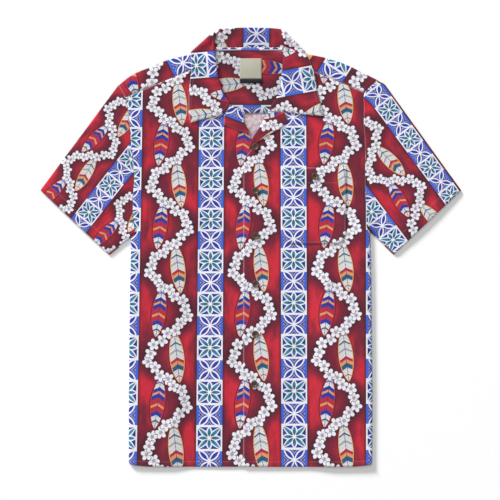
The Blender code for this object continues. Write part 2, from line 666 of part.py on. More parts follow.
# ---- buttons: turned discs with a dished middle and two thread holes ----
def button(name, x, y):
    r, h = buttonAcross / 2, buttonThick
    z0 = float(below.top(np.array(x), np.array(y), r * 0.9)) + gap
    profile = [(0, 0), (r * 0.74, 0), (r, h * 0.5), (r * 0.84, h), (r * 0.5, h * 0.68), (0, h * 0.64)]
    turns = 18
    points, faces = [(x, y, z0)], []
    for radius, height in profile[1:-1]:
        for k in range(turns):
            a = 2 * math.pi * k / turns
            points.append((x + radius * math.cos(a), y + radius * math.sin(a), z0 + height))
    points.append((x, y, z0 + profile[-1][1]))
    for k in range(turns):
        m = (k + 1) % turns
        faces.append((0, 1 + m, 1 + k))
        for ring in range(len(profile) - 3):
            a, b = 1 + ring * turns + k, 1 + ring * turns + m
            c, d = b + turns, a + turns
            faces += [(a, b, c), (a, c, d)]
        last = 1 + (len(profile) - 3) * turns
        faces.append((last + k, last + m, len(points) - 1))
    disc = addObject("disc", points, faces)
    holes = []
    for s in (1, -1):
        pts, fs = [], []
        for height in (-1, h + 1):
            for k in range(6):
                a = 2 * math.pi * k / 6
                pts.append((x + s * 1.35 + 0.75 * math.cos(a), y + 0.75 * math.sin(a), z0 + height))
        for k in range(6):
            m = (k + 1) % 6
            fs += [(k, m, m + 6), (k, m + 6, k + 6)]
        fs += [(0, k + 1, k) for k in range(1, 5)] + [(6, 6 + k, 7 + k) for k in range(1, 5)]
        holes.append(addObject("hole", pts, fs))
    return joined(name, [disc] + holes, coconut, "DIFFERENCE")


for k in range(6):
    button(f"button_{k + 1}", float(buttonRows["x"][k]), float(buttonRows["y"][k]))
button("pocket_button", *pocketButton)
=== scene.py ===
import math

import bpy
import numpy as np
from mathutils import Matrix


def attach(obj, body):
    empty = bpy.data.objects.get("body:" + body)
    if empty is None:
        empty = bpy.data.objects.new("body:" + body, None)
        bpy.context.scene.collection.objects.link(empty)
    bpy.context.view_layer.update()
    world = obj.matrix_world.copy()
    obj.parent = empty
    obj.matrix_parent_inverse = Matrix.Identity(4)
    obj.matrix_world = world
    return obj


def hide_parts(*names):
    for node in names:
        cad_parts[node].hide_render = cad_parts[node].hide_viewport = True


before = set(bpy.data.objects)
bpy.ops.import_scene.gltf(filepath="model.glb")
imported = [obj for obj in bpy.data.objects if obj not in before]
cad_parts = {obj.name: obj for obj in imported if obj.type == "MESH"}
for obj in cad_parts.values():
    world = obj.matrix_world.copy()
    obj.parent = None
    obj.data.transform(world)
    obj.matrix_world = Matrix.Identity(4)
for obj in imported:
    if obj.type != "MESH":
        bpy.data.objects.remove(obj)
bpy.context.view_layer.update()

# Printed cotton camp shirt, laid flat face up. Worked out in millimetres, stored in metres.
# Left and right are the wearer's: the wearer's left is +X, the collar is +Y, the floor is z = 0.
mm = 0.001
clothWall, lapelWall, collarWall, gap = 1.1, 1.5, 1.8, 0.35
layer = clothWall + gap  # one thickness with the air over it
floorMid = clothWall / 2
sideTuck, sideTopDrop = 60.0, 45.0  # how far a side is turned under, and how much lower its end is at the underarm
frontFold, backFold, yokeFold, sleevePuff = 4.0, 1.2, 3.0, 0.7
hemY, hemDeep = -383.9, 8.5
frontEdge, underEdge = -13.0, 30.2  # X of the edges of the upper and the under front
backSeamY, innerYokeY = 242.0, 234.0
neckSeamY, collarTopY = 346.2, 383.9


def table(names, *rows):
    # the rows' numbers as one array for each name
    values = np.array(rows, float)
    return {name: values[:, k] for k, name in enumerate(names.split())}


def line(t):
    # a table's points, one in each row
    return np.stack([t["x"], t["y"]], 1)


# side edge of the laid body, from the hem up to the underarm
sideEdge = {
    1: table("y x", (-384, 212), (-267, 212.9), (-182, 211.8), (-75, 210.8), (-2, 209.7), (31, 208.6)),
    -1: table("y x", (-384, -213.1), (-267, -213.1), (-93, -211.3), (4, -209.4), (20, -209.0)),
}
# armhole seam from the underarm up: 8th row is the back yoke seam, 9th the front yoke seam, 11th the shoulder
armhole = {
    1: table("x y", (204.2, 30.8), (202, 64.9), (200.1, 99.9), (199.9, 131.4), (200.3, 161.2), (199.2, 190.9),
             (197.5, 218.9), (197.8, 242), (198.7, 269.7), (209.4, 281.1), (218.6, 289.5)),
    -1: table("x y", (-204.6, 20.3), (-206, 56.2), (-205.6, 91.2), (-203.6, 126.2), (-205.7, 157.7), (-209.5, 187.4),
              (-211.5, 215.4), (-214.5, 242), (-219, 261.6), (-225, 272.3), (-228.9, 280)),
}
# inner edge of each front from the underarm level up: front edge, break, roll line, front yoke seam
innerEdge = {
    1: table("x y", (frontEdge, 30.8), (frontEdge, 73.7), (frontEdge, 113.9), (frontEdge, 147.2), (0.5, 170.5),
             (20, 205.5), (40.5, 243.4), (60, 285.4), (64.5, 327)),
    -1: table("x y", (underEdge, 20.3), (underEdge, 64.9), (underEdge, 108.7), (underEdge, 152.4), (1, 190),
              (-16.5, 219.5), (-44, 254.2), (-62, 287.5), (-69, 323)),
}
yokeSeam = {  # from the armhole to the neck
    1: table("x y", (198.7, 269.7), (163, 285), (115.4, 304.7), (64.5, 327)),
    -1: table("x y", (-219, 261.6), (-162.5, 285.6), (-103.3, 309.6), (-69, 323)),
}
shoulder = {  # outline from the shoulder point to the neck
    1: table("x y", (220.9, 292.9), (203.6, 300.7), (175.6, 315.5), (150.9, 325.7), (132.6, 330.5), (104, 335.8),
             (90, 337.2), (64.5, 340.5)),
    -1: table("x y", (-231.1, 282.8), (-213.8, 297.8), (-198.2, 305), (-172.5, 316.2), (-146.7, 326.7),
              (-112, 335), (-95, 336.5), (-69, 340.5)),
}
cuff = {  # from the underarm side to the top
    1: table("x y", (249.5, -13), (367.9, 99.4)),
    -1: table("x y", (-246.8, -13.7), (-367.8, 99.4)),
}
leafRoll = {  # roll line of each collar leaf, from the gorge up to the back of the neck
    1: table("x y", (30.2, 236.8), (40.2, 254.1), (48.9, 266.5), (52.9, 278.4), (55.2, 307.7), (57.7, 343.7),
             (58.2, 377.3)),
    -1: table("x y", (-34.7, 248.7), (-44.7, 264.4), (-50.8, 276.7), (-56.8, 295.1), (-60.8, 316.9), (-62.9, 343.9),
              (-62.9, 376.4)),
}
leafEdge = {  # from the leaf's point up to the shoulder outline
    1: table("x y", (127.8, 229.4), (125.6, 237.5), (118.6, 262.5), (115.4, 273.3), (111.6, 299.9), (106, 317.1),
             (96, 341.5)),
    -1: table("x y", (-105.4, 217.2), (-108.2, 227.7), (-107.7, 267.9), (-104.9, 295.9), (-103.3, 309.9),
              (-105.1, 340.6)),
}
leafBottom = {  # from the gorge to the leaf's point
    1: table("x y", (30.2, 236.8), (58.4, 236.6), (94.2, 231.9), (127.8, 229.4)),
    -1: table("x y", (-34.7, 248.7), (-47.9, 231.3), (-87.9, 222.9), (-105.4, 217.2)),
}
lapel = {  # roll line and outer edge of each lapel, from the gorge down; the tip is in the second row
    1: table("rollX rollY edgeX edgeY", (30.4, 235.6, 58.5, 235.6), (20.6, 218.9, 64.5, 221),
             (14.1, 206.7, 51.7, 207.5), (4.8, 193.5, 29, 195.5), (1, 183.9, 12.7, 184.3), (-1.5, 174.5, 1.2, 174)),
    -1: table("rollX rollY edgeX edgeY", (-34, 247, -46, 230.2), (-13.2, 233.6, -46.8, 214.4),
              (-12.5, 217.9, -24.9, 205.6), (-5.5, 206.6, -11.5, 200.8), (-3, 201.6, -6.5, 198.4)),
}
pocketRows = table("y left right", (138.4, 53.8, 166.7), (112.2, 53.8, 166.4), (82, 53.8, 166.3), (52, 53.8, 166.1),
                   (22, 53.8, 165.8), (6.5, 64.3, 156.2))


def smooth(t):
    # three times the square less twice the cube, so that it leaves 0 and reaches 1 level
    t = np.clip(t, 0, 1)
    return t * t * (3 - 2 * t)


def runOf(points):
    # length along the line up to each of its points
    return np.concatenate([[0], np.cumsum(np.linalg.norm(np.diff(points, axis=0), axis=1))])


def walked(points, run, s):
    # the points at lengths s along a line whose own points lie at run
    return np.stack([np.interp(s, run, points[:, k]) for k in range(points.shape[1])], -1)


def along(points, t):
    # the points at shares t of the line's length
    run = runOf(points)
    return walked(points, run / run[-1], t)


def coons(bottom, top, left, right):
    # the sum of the two surfaces ruled between opposite edges, less the one ruled between the four corners
    run = runOf(bottom)
    u, v = (run / run[-1])[None, :, None], np.linspace(0, 1, len(left))[:, None, None]
    ruled = (1 - v) * bottom[None] + v * top[None] + (1 - u) * left[:, None] + u * right[:, None]
    corners = (1 - u) * (1 - v) * bottom[0] + u * (1 - v) * bottom[-1] + (1 - u) * v * top[0] + u * v * top[-1]
    return ruled - corners


def withZ(flat, z):
    # flat points with their heights
    return np.concatenate([flat, np.broadcast_to(z, flat.shape[:-1])[..., None]], -1)


def edgeX(side, y):
    # X of the body's side edge up to the underarm, and 4.5 mm outside the armhole above it
    t, a = sideEdge[side], armhole[side]
    return np.where(y <= t["y"][-1], np.interp(y, t["y"], t["x"]), np.interp(y, a["y"], a["x"]) + side * 4.5)


def underarmY(side):
    return armhole[side]["y"][0]


def flapLift(x, y):
    # two thicknesses over each turned-under side, eased to nothing inwards and above the underarm
    total = 0.0
    for side in (1, -1):
        inside = side * (edgeX(side, y) - x)
        across = 1 - smooth((inside - sideTuck - 9) / 44)
        top = underarmY(side) - sideTopDrop * np.clip(inside / sideTuck, 0, 1)
        total = total + across * (1 - smooth((y - top - 8) / 55))
    return 2 * layer * np.clip(total, 0, 1)


def fallLift(x, y):
    # one thickness over the collar's fall, which lies under the back yoke, eased to nothing at its sides and below it
    top = 1 - smooth((np.abs(x + 4) - 104) / 45)
    return (collarWall + gap) * top * smooth((y - 296) / 28)


def yokeLift(y):
    # one layer over the inner yoke, eased to nothing below it
    return layer * smooth((y - 190) / 36)


def frontMid(side, x, y):
    # the middle of a front: one layer over the back with the lifts on it, and the left front one more over the right
    z = floorMid + layer + flapLift(x, y) + fallLift(x * 0.9, y + 6)
    if side == 1:
        return np.maximum(z + layer, z + yokeLift(y))
    return z + yokeLift(y)


def backMid(x, y):
    # the middle of the back: on the floor with the lifts on it
    return floorMid + flapLift(x, y) + fallLift(x, y)


def mathNode(operation, reflected=False):
    # a method of Sum that adds one Math node; a reflected operator has its own socket second
    def method(self, *others):
        values = (*others, self) if reflected else (self, *others)
        return self.look.node("ShaderNodeMath", {"operation": operation}, *values)

    return method


class Sum:
    # a shader socket on which + - * / and comparisons add Math nodes
    def __init__(self, look, socket):
        self.look, self.socket = look, socket

    __add__, __radd__ = mathNode("ADD"), mathNode("ADD", reflected=True)
    __sub__, __rsub__ = mathNode("SUBTRACT"), mathNode("SUBTRACT", reflected=True)
    __mul__, __rmul__ = mathNode("MULTIPLY"), mathNode("MULTIPLY", reflected=True)
    __truediv__, __pow__, __abs__ = mathNode("DIVIDE"), mathNode("POWER"), mathNode("ABSOLUTE")
    __lt__, __gt__ = mathNode("LESS_THAN"), mathNode("GREATER_THAN")
    fract, rounded, sine, squareRoot = mathNode("FRACT"), mathNode("ROUND"), mathNode("SINE"), mathNode("SQRT")
    atLeast, atMost, angleFrom = mathNode("MAXIMUM"), mathNode("MINIMUM"), mathNode("ARCTAN2")

    def root(self):
        # the square root, of 0 where the value is negative
        return self.atLeast(0.0).squareRoot()

    def soft(self, low, high):
        # 0 at low, 1 at high, eased between them
        return self.look.node("ShaderNodeMapRange", {"interpolation_type": "SMOOTHSTEP"}, self, low, high)

    def folded(self, period):
        # distance from the nearest multiple of the period, in -half...half of it
        return ((self / period + 0.5).fract() - 0.5) * period


class Look:
    # a material: its Principled shader's constants are set here, and its varying inputs by finish
    def __init__(self, name, **constants):
        # the names of the constants' sockets have _ for a space
        self.material = bpy.data.materials.new(name)
        self.material.use_nodes = True
        self.tree = self.material.node_tree
        self.shader = self.tree.nodes["Principled BSDF"]
        for socket, value in constants.items():
            self.shader.inputs[socket.replace("_", " ")].default_value = value

    def node(self, kind, settings, *values, out=0, **named):
        # any node: its type, its settings, then the values or links of its sockets, in order or by name
        n = self.tree.nodes.new(kind)
        for key, value in settings.items():
            if key == "stops":
                while len(n.color_ramp.elements) < len(value):
                    n.color_ramp.elements.new(0.5)
                for stop, (place, colour) in zip(n.color_ramp.elements, value):
                    stop.position, stop.color = place, colour
            elif key == "steps":
                n.color_ramp.interpolation = value
            else:
                setattr(n, key, value)
        for key, value in [*enumerate(values), *named.items()]:
            self.link(value, n.inputs[key])
        return Sum(self, n.outputs[out])

    def link(self, value, socket):
        # a Sum is linked, and anything else is set on the socket
        if isinstance(value, Sum):
            self.tree.links.new(value.socket, socket)
        else:
            socket.default_value = value

    def mix(self, share, first, second):
        # the first colour at 0, the second at 1
        n = self.node("ShaderNodeMix", {"data_type": "RGBA"}, share, out=2)
        for value, k in ((first, 6), (second, 7)):
            self.link(value, n.socket.node.inputs[k])
        return n

    def flat(self):
        # the piece's own flat pattern in mm: u across the print, v along it
        uv = self.node("ShaderNodeUVMap", {"uv_map": "flatCut"})
        split = self.node("ShaderNodeSeparateXYZ", {}, uv)
        return split * 1000, Sum(self, split.socket.node.outputs[1]) * 1000

    def noise(self, u, v, across, along, detail=2.0, rough=0.5):
        # soft noise whose spots are so many mm across and along
        at = self.node("ShaderNodeCombineXYZ", {}, u / across, v / along)
        return self.node("ShaderNodeTexNoise", {}, at, Scale=1.0, Detail=detail, Roughness=rough)

    def finish(self, colour, rough, height):
        # colour, roughness and a bump of the given height in metres
        self.link(colour, self.shader.inputs["Base Color"])
        self.link(rough, self.shader.inputs["Roughness"])
        bump = self.node("ShaderNodeBump", {}, Height=height, Strength=1.0, Distance=1.0)
        self.link(bump, self.shader.inputs["Normal"])
        return self.material


def ink(code):
    # a colour as printed, from its six figures, in the shader's linear scale
    parts = np.array([int(code[k:k + 2], 16) for k in (0, 2, 4)]) / 255
    return (*np.where(parts < 0.04045, parts / 12.92, ((parts + 0.055) / 1.055) ** 2.4).tolist(), 1.0)


printDesign = {
    "period": 145.8, "bandHalf": 22.25,  # band and panel repeat across, half a band's width
    "tilePair": 73.6, "leafTile": 34.5, "tileFoot": 5.3,  # the two tiles of a band, the lower one's height, its foot
    "garlandSwing": 33.0, "garlandWave": 150.0, "flowerStep": 150 / 14, "flowerAside": 2.3, "flowerRadius": 10.4,
    "leafHalf": 43.0, "leafWide": 13.0, "leafOut": 16.0, "leafTurn": 7.0,
    "white": ink("eaeaf1"), "petalShade": ink("9b98aa"), "petalHeart": ink("c57f90"),
    "teal": ink("1c5a7c"), "tealLight": ink("3285a0"), "royal": ink("22339c"), "margin": ink("3a64d2"),
    "navy": ink("1e2876"), "lavender": ink("9fa3cc"),
    "crimson": ink("6f162e"), "glow": ink("ce2137"), "dark": ink("2c0b18"), "outline": ink("280d15"),
    "cream": ink("dddcda"), "peach": ink("e59a62"), "red": ink("b9242f"), "grey": ink("949fa3"),
}


# the two leaves in turn: side of the garland, edging, and its bands from the foot up
leafBands = (
    (-1, "red", [(0, "cream"), (0.15, "teal"), (0.18, "cream"), (0.27, "royal"), (0.35, "red"), (0.45, "peach"),
                 (0.5, "red"), (0.6, "royal"), (0.68, "peach"), (0.73, "royal"), (0.8, "cream"), (0.88, "margin"),
                 (0.91, "cream")]),
    (1, "peach", [(0, "cream"), (0.13, "red"), (0.15, "cream"), (0.27, "teal"), (0.36, "peach"), (0.43, "red"),
                  (0.49, "cream"), (0.62, "grey"), (0.65, "cream"), (0.76, "teal"), (0.79, "cream"), (0.9, "grey")]),
)


def flowerPatch(look, x, y, turn):
    # five oval petals about a heart: the angle is folded to a petal's own axis, and an oval's equation gives its edge
    d = printDesign
    radius = d["flowerRadius"]
    r = (x * x + y * y).root()
    way = y.angleFrom(x)
    off = ((way * (2.5 / math.pi) + turn).fract() - 0.5) * (0.4 * math.pi)
    out, aside = r * (off + math.pi / 2).sine(), r * off.sine()
    petal = ((out - 0.6 * radius) / (0.4 * radius)) ** 2 + (aside / (0.335 * radius)) ** 2
    shade = petal.soft(0.45, 1.0) * 0.5 + r.soft(4.6, 1.6) * 0.36 + (abs(aside) < 0.3) * (r < 0.66 * radius) * 0.35
    colour = look.mix(shade.atMost(1.0), d["white"], d["petalShade"])
    colour = look.mix(r.soft(1.9, 0.9), colour, d["petalHeart"])
    inside = (petal < 1.0).atLeast(r < 0.25 * radius)
    return inside, (petal < 1.42).atLeast(r < 0.4 * radius), colour


def longLeaf(look, x, y, edging, stops):
    # a long pointed leaf: coloured edging, bands in chevrons, a midrib and fine side veins
    d = printDesign
    side = abs(x)
    half = ((1 - (y / d["leafHalf"]) ** 2).atLeast(0.0) ** 0.72) * d["leafWide"]
    place = (y + side * 0.55) / (2 * d["leafHalf"]) + 0.5
    colour = look.node("ShaderNodeValToRGB", {"steps": "CONSTANT", "stops": stops}, place)
    vein = ((((y + side * 0.9) / 5.2).fract() < 0.17) * 0.5).atLeast((side < 0.55) * 0.8)
    colour = look.mix(vein, colour, d["navy"])
    colour = look.mix(side > half - 1.5, colour, edging)
    return side < half, (side < half + 1.2) * (abs(y) < d["leafHalf"] + 0.8), colour


def oval(out, start, length, wide):
    # half the width of a pointed oval at a distance out along it: a sine over its length, to the power 0.8
    return ((((out - start) / length).atLeast(0.0).atMost(1.0) * math.pi).sine() ** 0.8) * wide


def tileBand(look, across, along):
    # two tiles in turn; across runs -1...1 over the band, along counts mm up from the lower tile's foot
    d = printDesign
    low = d["leafTile"]
    # upper tile, eight petals: the angle is folded to a petal's own axis
    y8 = (along - (low + d["tilePair"]) / 2) / ((d["tilePair"] - low) / 2)
    way = y8.angleFrom(across)
    near = abs((way * (4 / math.pi) + 0.5).fract() - 0.5) * (math.pi / 4)
    r = (across * across + y8 * y8).root()
    reach = abs(across).atLeast(abs(y8))
    off = r * near.sine()
    petal = oval(reach, 0.1, 0.75, 0.14)
    eight = look.mix((across * 9 + along * 0.2).sine().soft(-1, 1), d["royal"], d["navy"])
    eight = look.mix(off < petal + 0.1, eight, d["white"])
    eight = look.mix(off < petal - 0.012, eight, look.mix(r.soft(0.25, 0.8), d["teal"], d["tealLight"]))
    eight = look.mix(reach > 0.885, eight, d["white"])
    # lower tile, four leaves along the diagonals, with lines beside them that meet in chevrons
    x4, y4 = across / 0.8, along / (low / 2) - 1
    way = y4.angleFrom(x4)
    near = abs((way * (2 / math.pi)).fract() - 0.5) * (math.pi / 2)
    r = (x4 * x4 + y4 * y4).root()
    off = r * near.sine()
    leaf = oval(r * (near + math.pi / 2).sine(), 0.16, 1.14, 0.18)
    beside = off - leaf - 0.13
    four = look.mix(beside.soft(0.1, 0.5), d["royal"], d["navy"])
    four = look.mix((beside / 0.19).fract() < 0.6, d["lavender"], four)
    four = look.mix(beside < 0, four, d["white"])
    four = look.mix(off < leaf - 0.015, four, d["royal"])
    four = look.mix(abs(across) > 0.81, four, d["margin"])
    four = look.mix(abs(y4) > 0.93, four, d["white"])
    return look.mix(along < low, eight, four)


def printColour(look, u, v):
    # laid over one another: the red ground, a leaf in each bay of the garland, its flowers, and the tiled bands
    d = printDesign
    across = u.folded(d["period"])  # from the nearest band's middle
    panel = (u + d["period"] / 2).folded(d["period"])  # from the nearest panel's middle
    wave = d["garlandWave"]
    path = (v * (2 * math.pi / wave)).sine() * d["garlandSwing"]
    streak = look.noise(u, v, 34, 95, 3.0, 0.55)
    bay = abs(panel - path).soft(17, 44)
    ground = look.mix((bay * streak.soft(0.36, 0.62)).atMost(1.0), d["crimson"], d["glow"])
    ground = look.mix(abs(panel - path).soft(21, 5) * 0.8, ground, d["dark"])
    ground = look.mix(abs(abs(panel) - 48.5).soft(3.0, 0.5) * 0.45, ground, d["dark"])
    ground = look.mix(look.noise(u, v, 1.6, 9, 2.0).soft(0.35, 0.75) * 0.16, ground, d["dark"])
    for side, edging, stops in leafBands:
        stops = [(place, d[colour]) for place, colour in stops]
        y = (v + side * wave / 4).folded(wave)
        x = panel - side * d["leafOut"]
        c, s = math.cos(math.radians(side * d["leafTurn"])), math.sin(math.radians(side * d["leafTurn"]))
        inside, rim, colour = longLeaf(look, x * c + y * s, y * c - x * s, d[edging], stops)
        ground = look.mix(rim, ground, d["outline"])
        ground = look.mix(inside, ground, colour)
    # flowers strung along the garland in even steps of its length, each a little to one side of it; three sets in
    # turn, so that neighbours may overlap
    step, rate = d["flowerStep"], 2 * math.pi / wave
    for k in range(3):
        n = ((v / step - k) / 3).rounded() * 3 + k
        even = (n * (2 * step * rate)).sine()
        t = n * (step * rate) - even * (3.0 * rate)
        slope = (t + math.pi / 2).sine() * (d["garlandSwing"] * rate)
        aside = ((n * 0.5).fract() - 0.25) * (4 * d["flowerAside"]) / (slope * slope + 1.0).root()
        x = panel - t.sine() * d["garlandSwing"] - aside
        y = v - n * step + even * 3.0 + aside * slope
        inside, rim, colour = flowerPatch(look, x, y, n * 0.618)
        ground = look.mix(rim, ground, d["outline"])
        ground = look.mix(inside, ground, colour)
    along = ((v + d["tileFoot"]) / d["tilePair"]).fract() * d["tilePair"]
    band = tileBand(look, across / d["bandHalf"], along)
    ground = look.mix(abs(across) < d["bandHalf"] + 1.0, ground, d["outline"])
    return look.mix(abs(across) < d["bandHalf"], ground, band)


def clothHeight(look, u, v):
    # plain weave, slubs and slow softness, in metres
    weave = (u * (2 * math.pi / 0.9)).sine() * (v * (2 * math.pi / 0.9)).sine() * 0.00003
    slub = look.noise(u, v, 0.8, 7, 2.0) * 0.00008
    return weave + slub + look.noise(u, v, 46, 120, 2.0, 0.45) * 0.0022


def printedCotton(name, washed, shade=0.0):
    # the print, mixed with a pale ground where it is washed, and with a dark one by the share shade, which is painted
    # shade
    look = Look(name, Sheen_Weight=0.03, Sheen_Roughness=0.5, IOR=1.3)
    u, v = look.flat()
    colour = printColour(look, u, v)
    thread = look.noise(u, v, 0.9, 0.9, 1.0)
    colour = look.mix(washed, colour, ink("cbb4b8"))
    # painted shade: the print darkened towards near black by the share shade
    colour = look.mix(shade, colour, ink("190b12"))
    colour = look.mix(thread.soft(0.3, 0.8) * 0.05, colour, ink("d8cdd2"))
    # the rims are paler: partly the pale ground of the cloth showing at its cut edges, partly a painted highlight along
    # the rolled edges
    wornAndLit = look.node("ShaderNodeAttribute", {"attribute_name": "edgeWear"}, out=2) ** 5
    colour = look.mix(wornAndLit * thread.soft(0.2, 0.7) * 0.55, colour, ink("cdbfc4"))
    return look.finish(colour, thread * 0.12 + 0.76, clothHeight(look, u, v))


def plainCloth(name, code, threadCode, pitch):
    # a woven ribbon: the product of two sines, one across and one along it
    look = Look(name, Sheen_Weight=0.1, IOR=1.4)
    u, v = look.flat()
    rib = (v * (2 * math.pi / pitch)).sine() * (u * (2 * math.pi / pitch)).sine()
    colour = look.mix(rib.soft(-0.6, 0.9) * 0.5 + look.noise(u, v, 3, 3) * 0.3, ink(code), ink(threadCode))
    return look.finish(colour, rib * 0.05 + 0.72, rib * 0.00004)


patternStep = 20


def shellLook():
    # coconut: brown grain of short fibres with darker pits, and painted shade darkest in the middle of the
    # dish; the buttons' patterns lie a multiple of patternStep apart
    look = Look("coconutShell", IOR=1.5, Coat_Weight=0.15, Coat_Roughness=0.3)
    u, v = look.flat()
    fibre = look.noise(u, v, 0.25, 1.9, 4.0, 0.6)
    pits = look.noise(u, v, 0.5, 0.7, 2.0)
    browns = [(0.25, ink("2a1d18")), (0.5, ink("4d392e")), (0.75, ink("7d6250"))]
    colour = look.node("ShaderNodeValToRGB", {"stops": browns}, fibre)
    colour = look.mix(pits.soft(0.55, 0.75) * 0.7, colour, ink("1d1613"))
    # painted shade in each button's dish, darkest at its middle
    across = u.folded(patternStep)
    colour = look.mix((across * across + v * v).root().soft(3.6, 0.8) * 0.62, colour, ink("150d0b"))
    return look.finish(colour, fibre * 0.3 + 0.35, fibre * 0.00008)


def threadLook(name, code):
    # thread whose plies are a sine across the slant
    look = Look(name, IOR=1.4)
    u, v = look.flat()
    ply = (u * 9 + v * 6).sine()
    colour = look.mix(ply.soft(-1, 1) * 0.35, ink(code), ink("5d2a38"))
    return look.finish(colour, ply * 0.05 + 0.7, ply * 0.00003)


cotton = printedCotton("printedCotton", 0.0)
reverse = printedCotton("printedCottonReverse", 0.72)
# a copy with painted shade, darkened by 0.22, for the cloth inside the neck
inner = printedCotton("printedCottonPaintedShade", 0.0, 0.22)
labelCloth = plainCloth("labelCloth", "c5c1b2", "a9a592", 0.9)
tabCloth = plainCloth("tabCloth", "111217", "2a2d35", 0.8)
coconut = shellLook()
seamThread = threadLook("seamThread", "c7a2ac")
buttonThread = threadLook("buttonThread", "4b3b35")
print("materials made")


def partsOf(grid, axis, size, least=1):
    # how many parts each interval along the axis is cut in, so that none is longer than size
    h = np.linalg.norm(np.diff(np.moveaxis(grid, axis, 0), axis=0), axis=-1)
    return np.maximum(np.ceil(h.reshape(len(h), -1).mean(1) / size).astype(int), least)


def refined(grid, parts, axis=0, straight=False, wrap=False):
    # a cubic through the points along one axis: the slope at each is the mean of the slopes beside it, weighted by the
    # shorter side
    p = np.moveaxis(grid, axis, 0)
    first = 2 if wrap else 0
    if wrap:
        p = np.concatenate([p[-2:], p, p[:3]])
    h = np.maximum(np.linalg.norm(np.diff(p, axis=0), axis=-1, keepdims=True), 1e-6)
    d = np.diff(p, axis=0) / h
    m = np.concatenate([d[:1], (d[:-1] * h[1:] + d[1:] * h[:-1]) / (h[:-1] + h[1:]), d[-1:]])
    out = []
    for k, count in enumerate(parts, first):
        x = (np.arange(count) / count).reshape(-1, *[1] * (p.ndim - 1))
        if straight:
            out.append(p[k] + (p[k + 1] - p[k]) * x)
        else:
            out.append(p[k] * (1 + 2 * x) * (1 - x) ** 2 + p[k + 1] * x * x * (3 - 2 * x)
                       + h[k] * (m[k] * x * (1 - x) ** 2 + m[k + 1] * x * x * (x - 1)))
    if not wrap:
        out.append(p[-1:])
    return np.moveaxis(np.concatenate(out), 0, axis)


def finer(grid, size, straight=False):
    # the grid cut finer both ways, straight down the columns where asked
    return refined(refined(grid, partsOf(grid, 1, size), 1), partsOf(grid, 0, size), 0, straight)


def unitOf(a):
    # vectors brought to a length of 1
    return a / np.maximum(np.linalg.norm(a, axis=-1, keepdims=True), 1e-9)


def shell(mid, wall, cells=None, wrap=False, outside=(0, 0)):
    # both faces lie half the wall from the middle grid along its averaged normals, and a rounded rim closes open edges;
    # outside names a cell whose upper side is the printed one
    rows, cols = mid.shape[:2]
    if cells is None:
        cells = np.ones((rows - 1, cols if wrap else cols - 1), bool)
    flat = mid.reshape(-1, 3)
    i, j = np.nonzero(cells)
    k = (j + 1) % cols
    ring = np.stack([i * cols + j, i * cols + k, (i + 1) * cols + k, (i + 1) * cols + j], 1)
    a, b, c, d = (flat[ring[:, s]] for s in range(4))
    n = unitOf(np.cross(c - a, d - b))
    normal = np.zeros_like(flat)
    for s in range(4):
        np.add.at(normal, ring[:, s], n)
    normal = unitOf(normal)
    share, count = np.zeros(len(flat)), np.zeros(len(flat))
    for s in range(4):
        np.add.at(share, ring[:, s], (normal[ring[:, s]] * n).sum(1))
        np.add.at(count, ring[:, s], 1.0)
    off = normal * (np.clip(count / np.maximum(share, 1e-9), 1, 1.2) * wall / 2)[:, None]
    used = np.unique(ring)
    index = np.full(len(flat), -1)
    index[used] = np.arange(len(used))
    size = len(used)
    # cells with no neighbour on a side have an open edge there
    padded = np.pad(cells, 1)
    if wrap:
        padded[1:-1, 0], padded[1:-1, -1] = cells[:, -1], cells[:, 0]
    centre = (a + b + c + d) / 4
    ends, away = [], []
    for (p, q), (di, dj) in zip(((0, 1), (1, 2), (2, 3), (3, 0)), ((-1, 0), (0, 1), (1, 0), (0, -1))):
        open_ = ~padded[i + 1 + di, j + 1 + dj]
        ends.append(np.stack([ring[open_, p], ring[open_, q]], 1))
        along = unitOf(flat[ring[open_, q]] - flat[ring[open_, p]])
        out = (flat[ring[open_, p]] + flat[ring[open_, q]]) / 2 - centre[open_]
        away.append(unitOf(out - along * (out * along).sum(1, keepdims=True)))
    ends, away = np.concatenate(ends), np.concatenate(away)
    rim = np.zeros_like(flat)
    for s in range(2):
        np.add.at(rim, ends[:, s], away)
    rimOf = np.unique(ends)
    rimIndex = np.full(len(flat), -1)
    rimIndex[rimOf] = 2 * size + np.arange(len(rimOf))
    points = np.concatenate([flat[used] + off[used], flat[used] - off[used],
                             flat[rimOf] + unitOf(rim[rimOf]) * wall * 0.3])
    up, low = index[ring], index[ring][:, ::-1] + size
    p, q = ends[:, 0], ends[:, 1]
    walls = np.concatenate([np.stack([index[q], index[p], rimIndex[p], rimIndex[q]], 1),
                            np.stack([rimIndex[q], rimIndex[p], index[p] + size, index[q] + size], 1)])
    faces = np.concatenate([up, low, walls])
    inside = np.concatenate([np.zeros(len(up)), np.ones(len(low)), np.zeros(len(walls))])
    t = points[faces]
    if ((t[:, 0] * np.cross(t[:, 1], t[:, 2])).sum() + (t[:, 0] * np.cross(t[:, 2], t[:, 3])).sum()) < 0:
        faces = faces[:, ::-1]
    cell = np.flatnonzero((i == outside[0]) & (j == outside[1]))[0]
    if n[cell, 2] < 0:
        inside[:len(up) + len(low)] = 1 - inside[:len(up) + len(low)]
    source = np.concatenate([used, used, rimOf])
    return points, faces, source, inside, np.isin(source, rimOf)


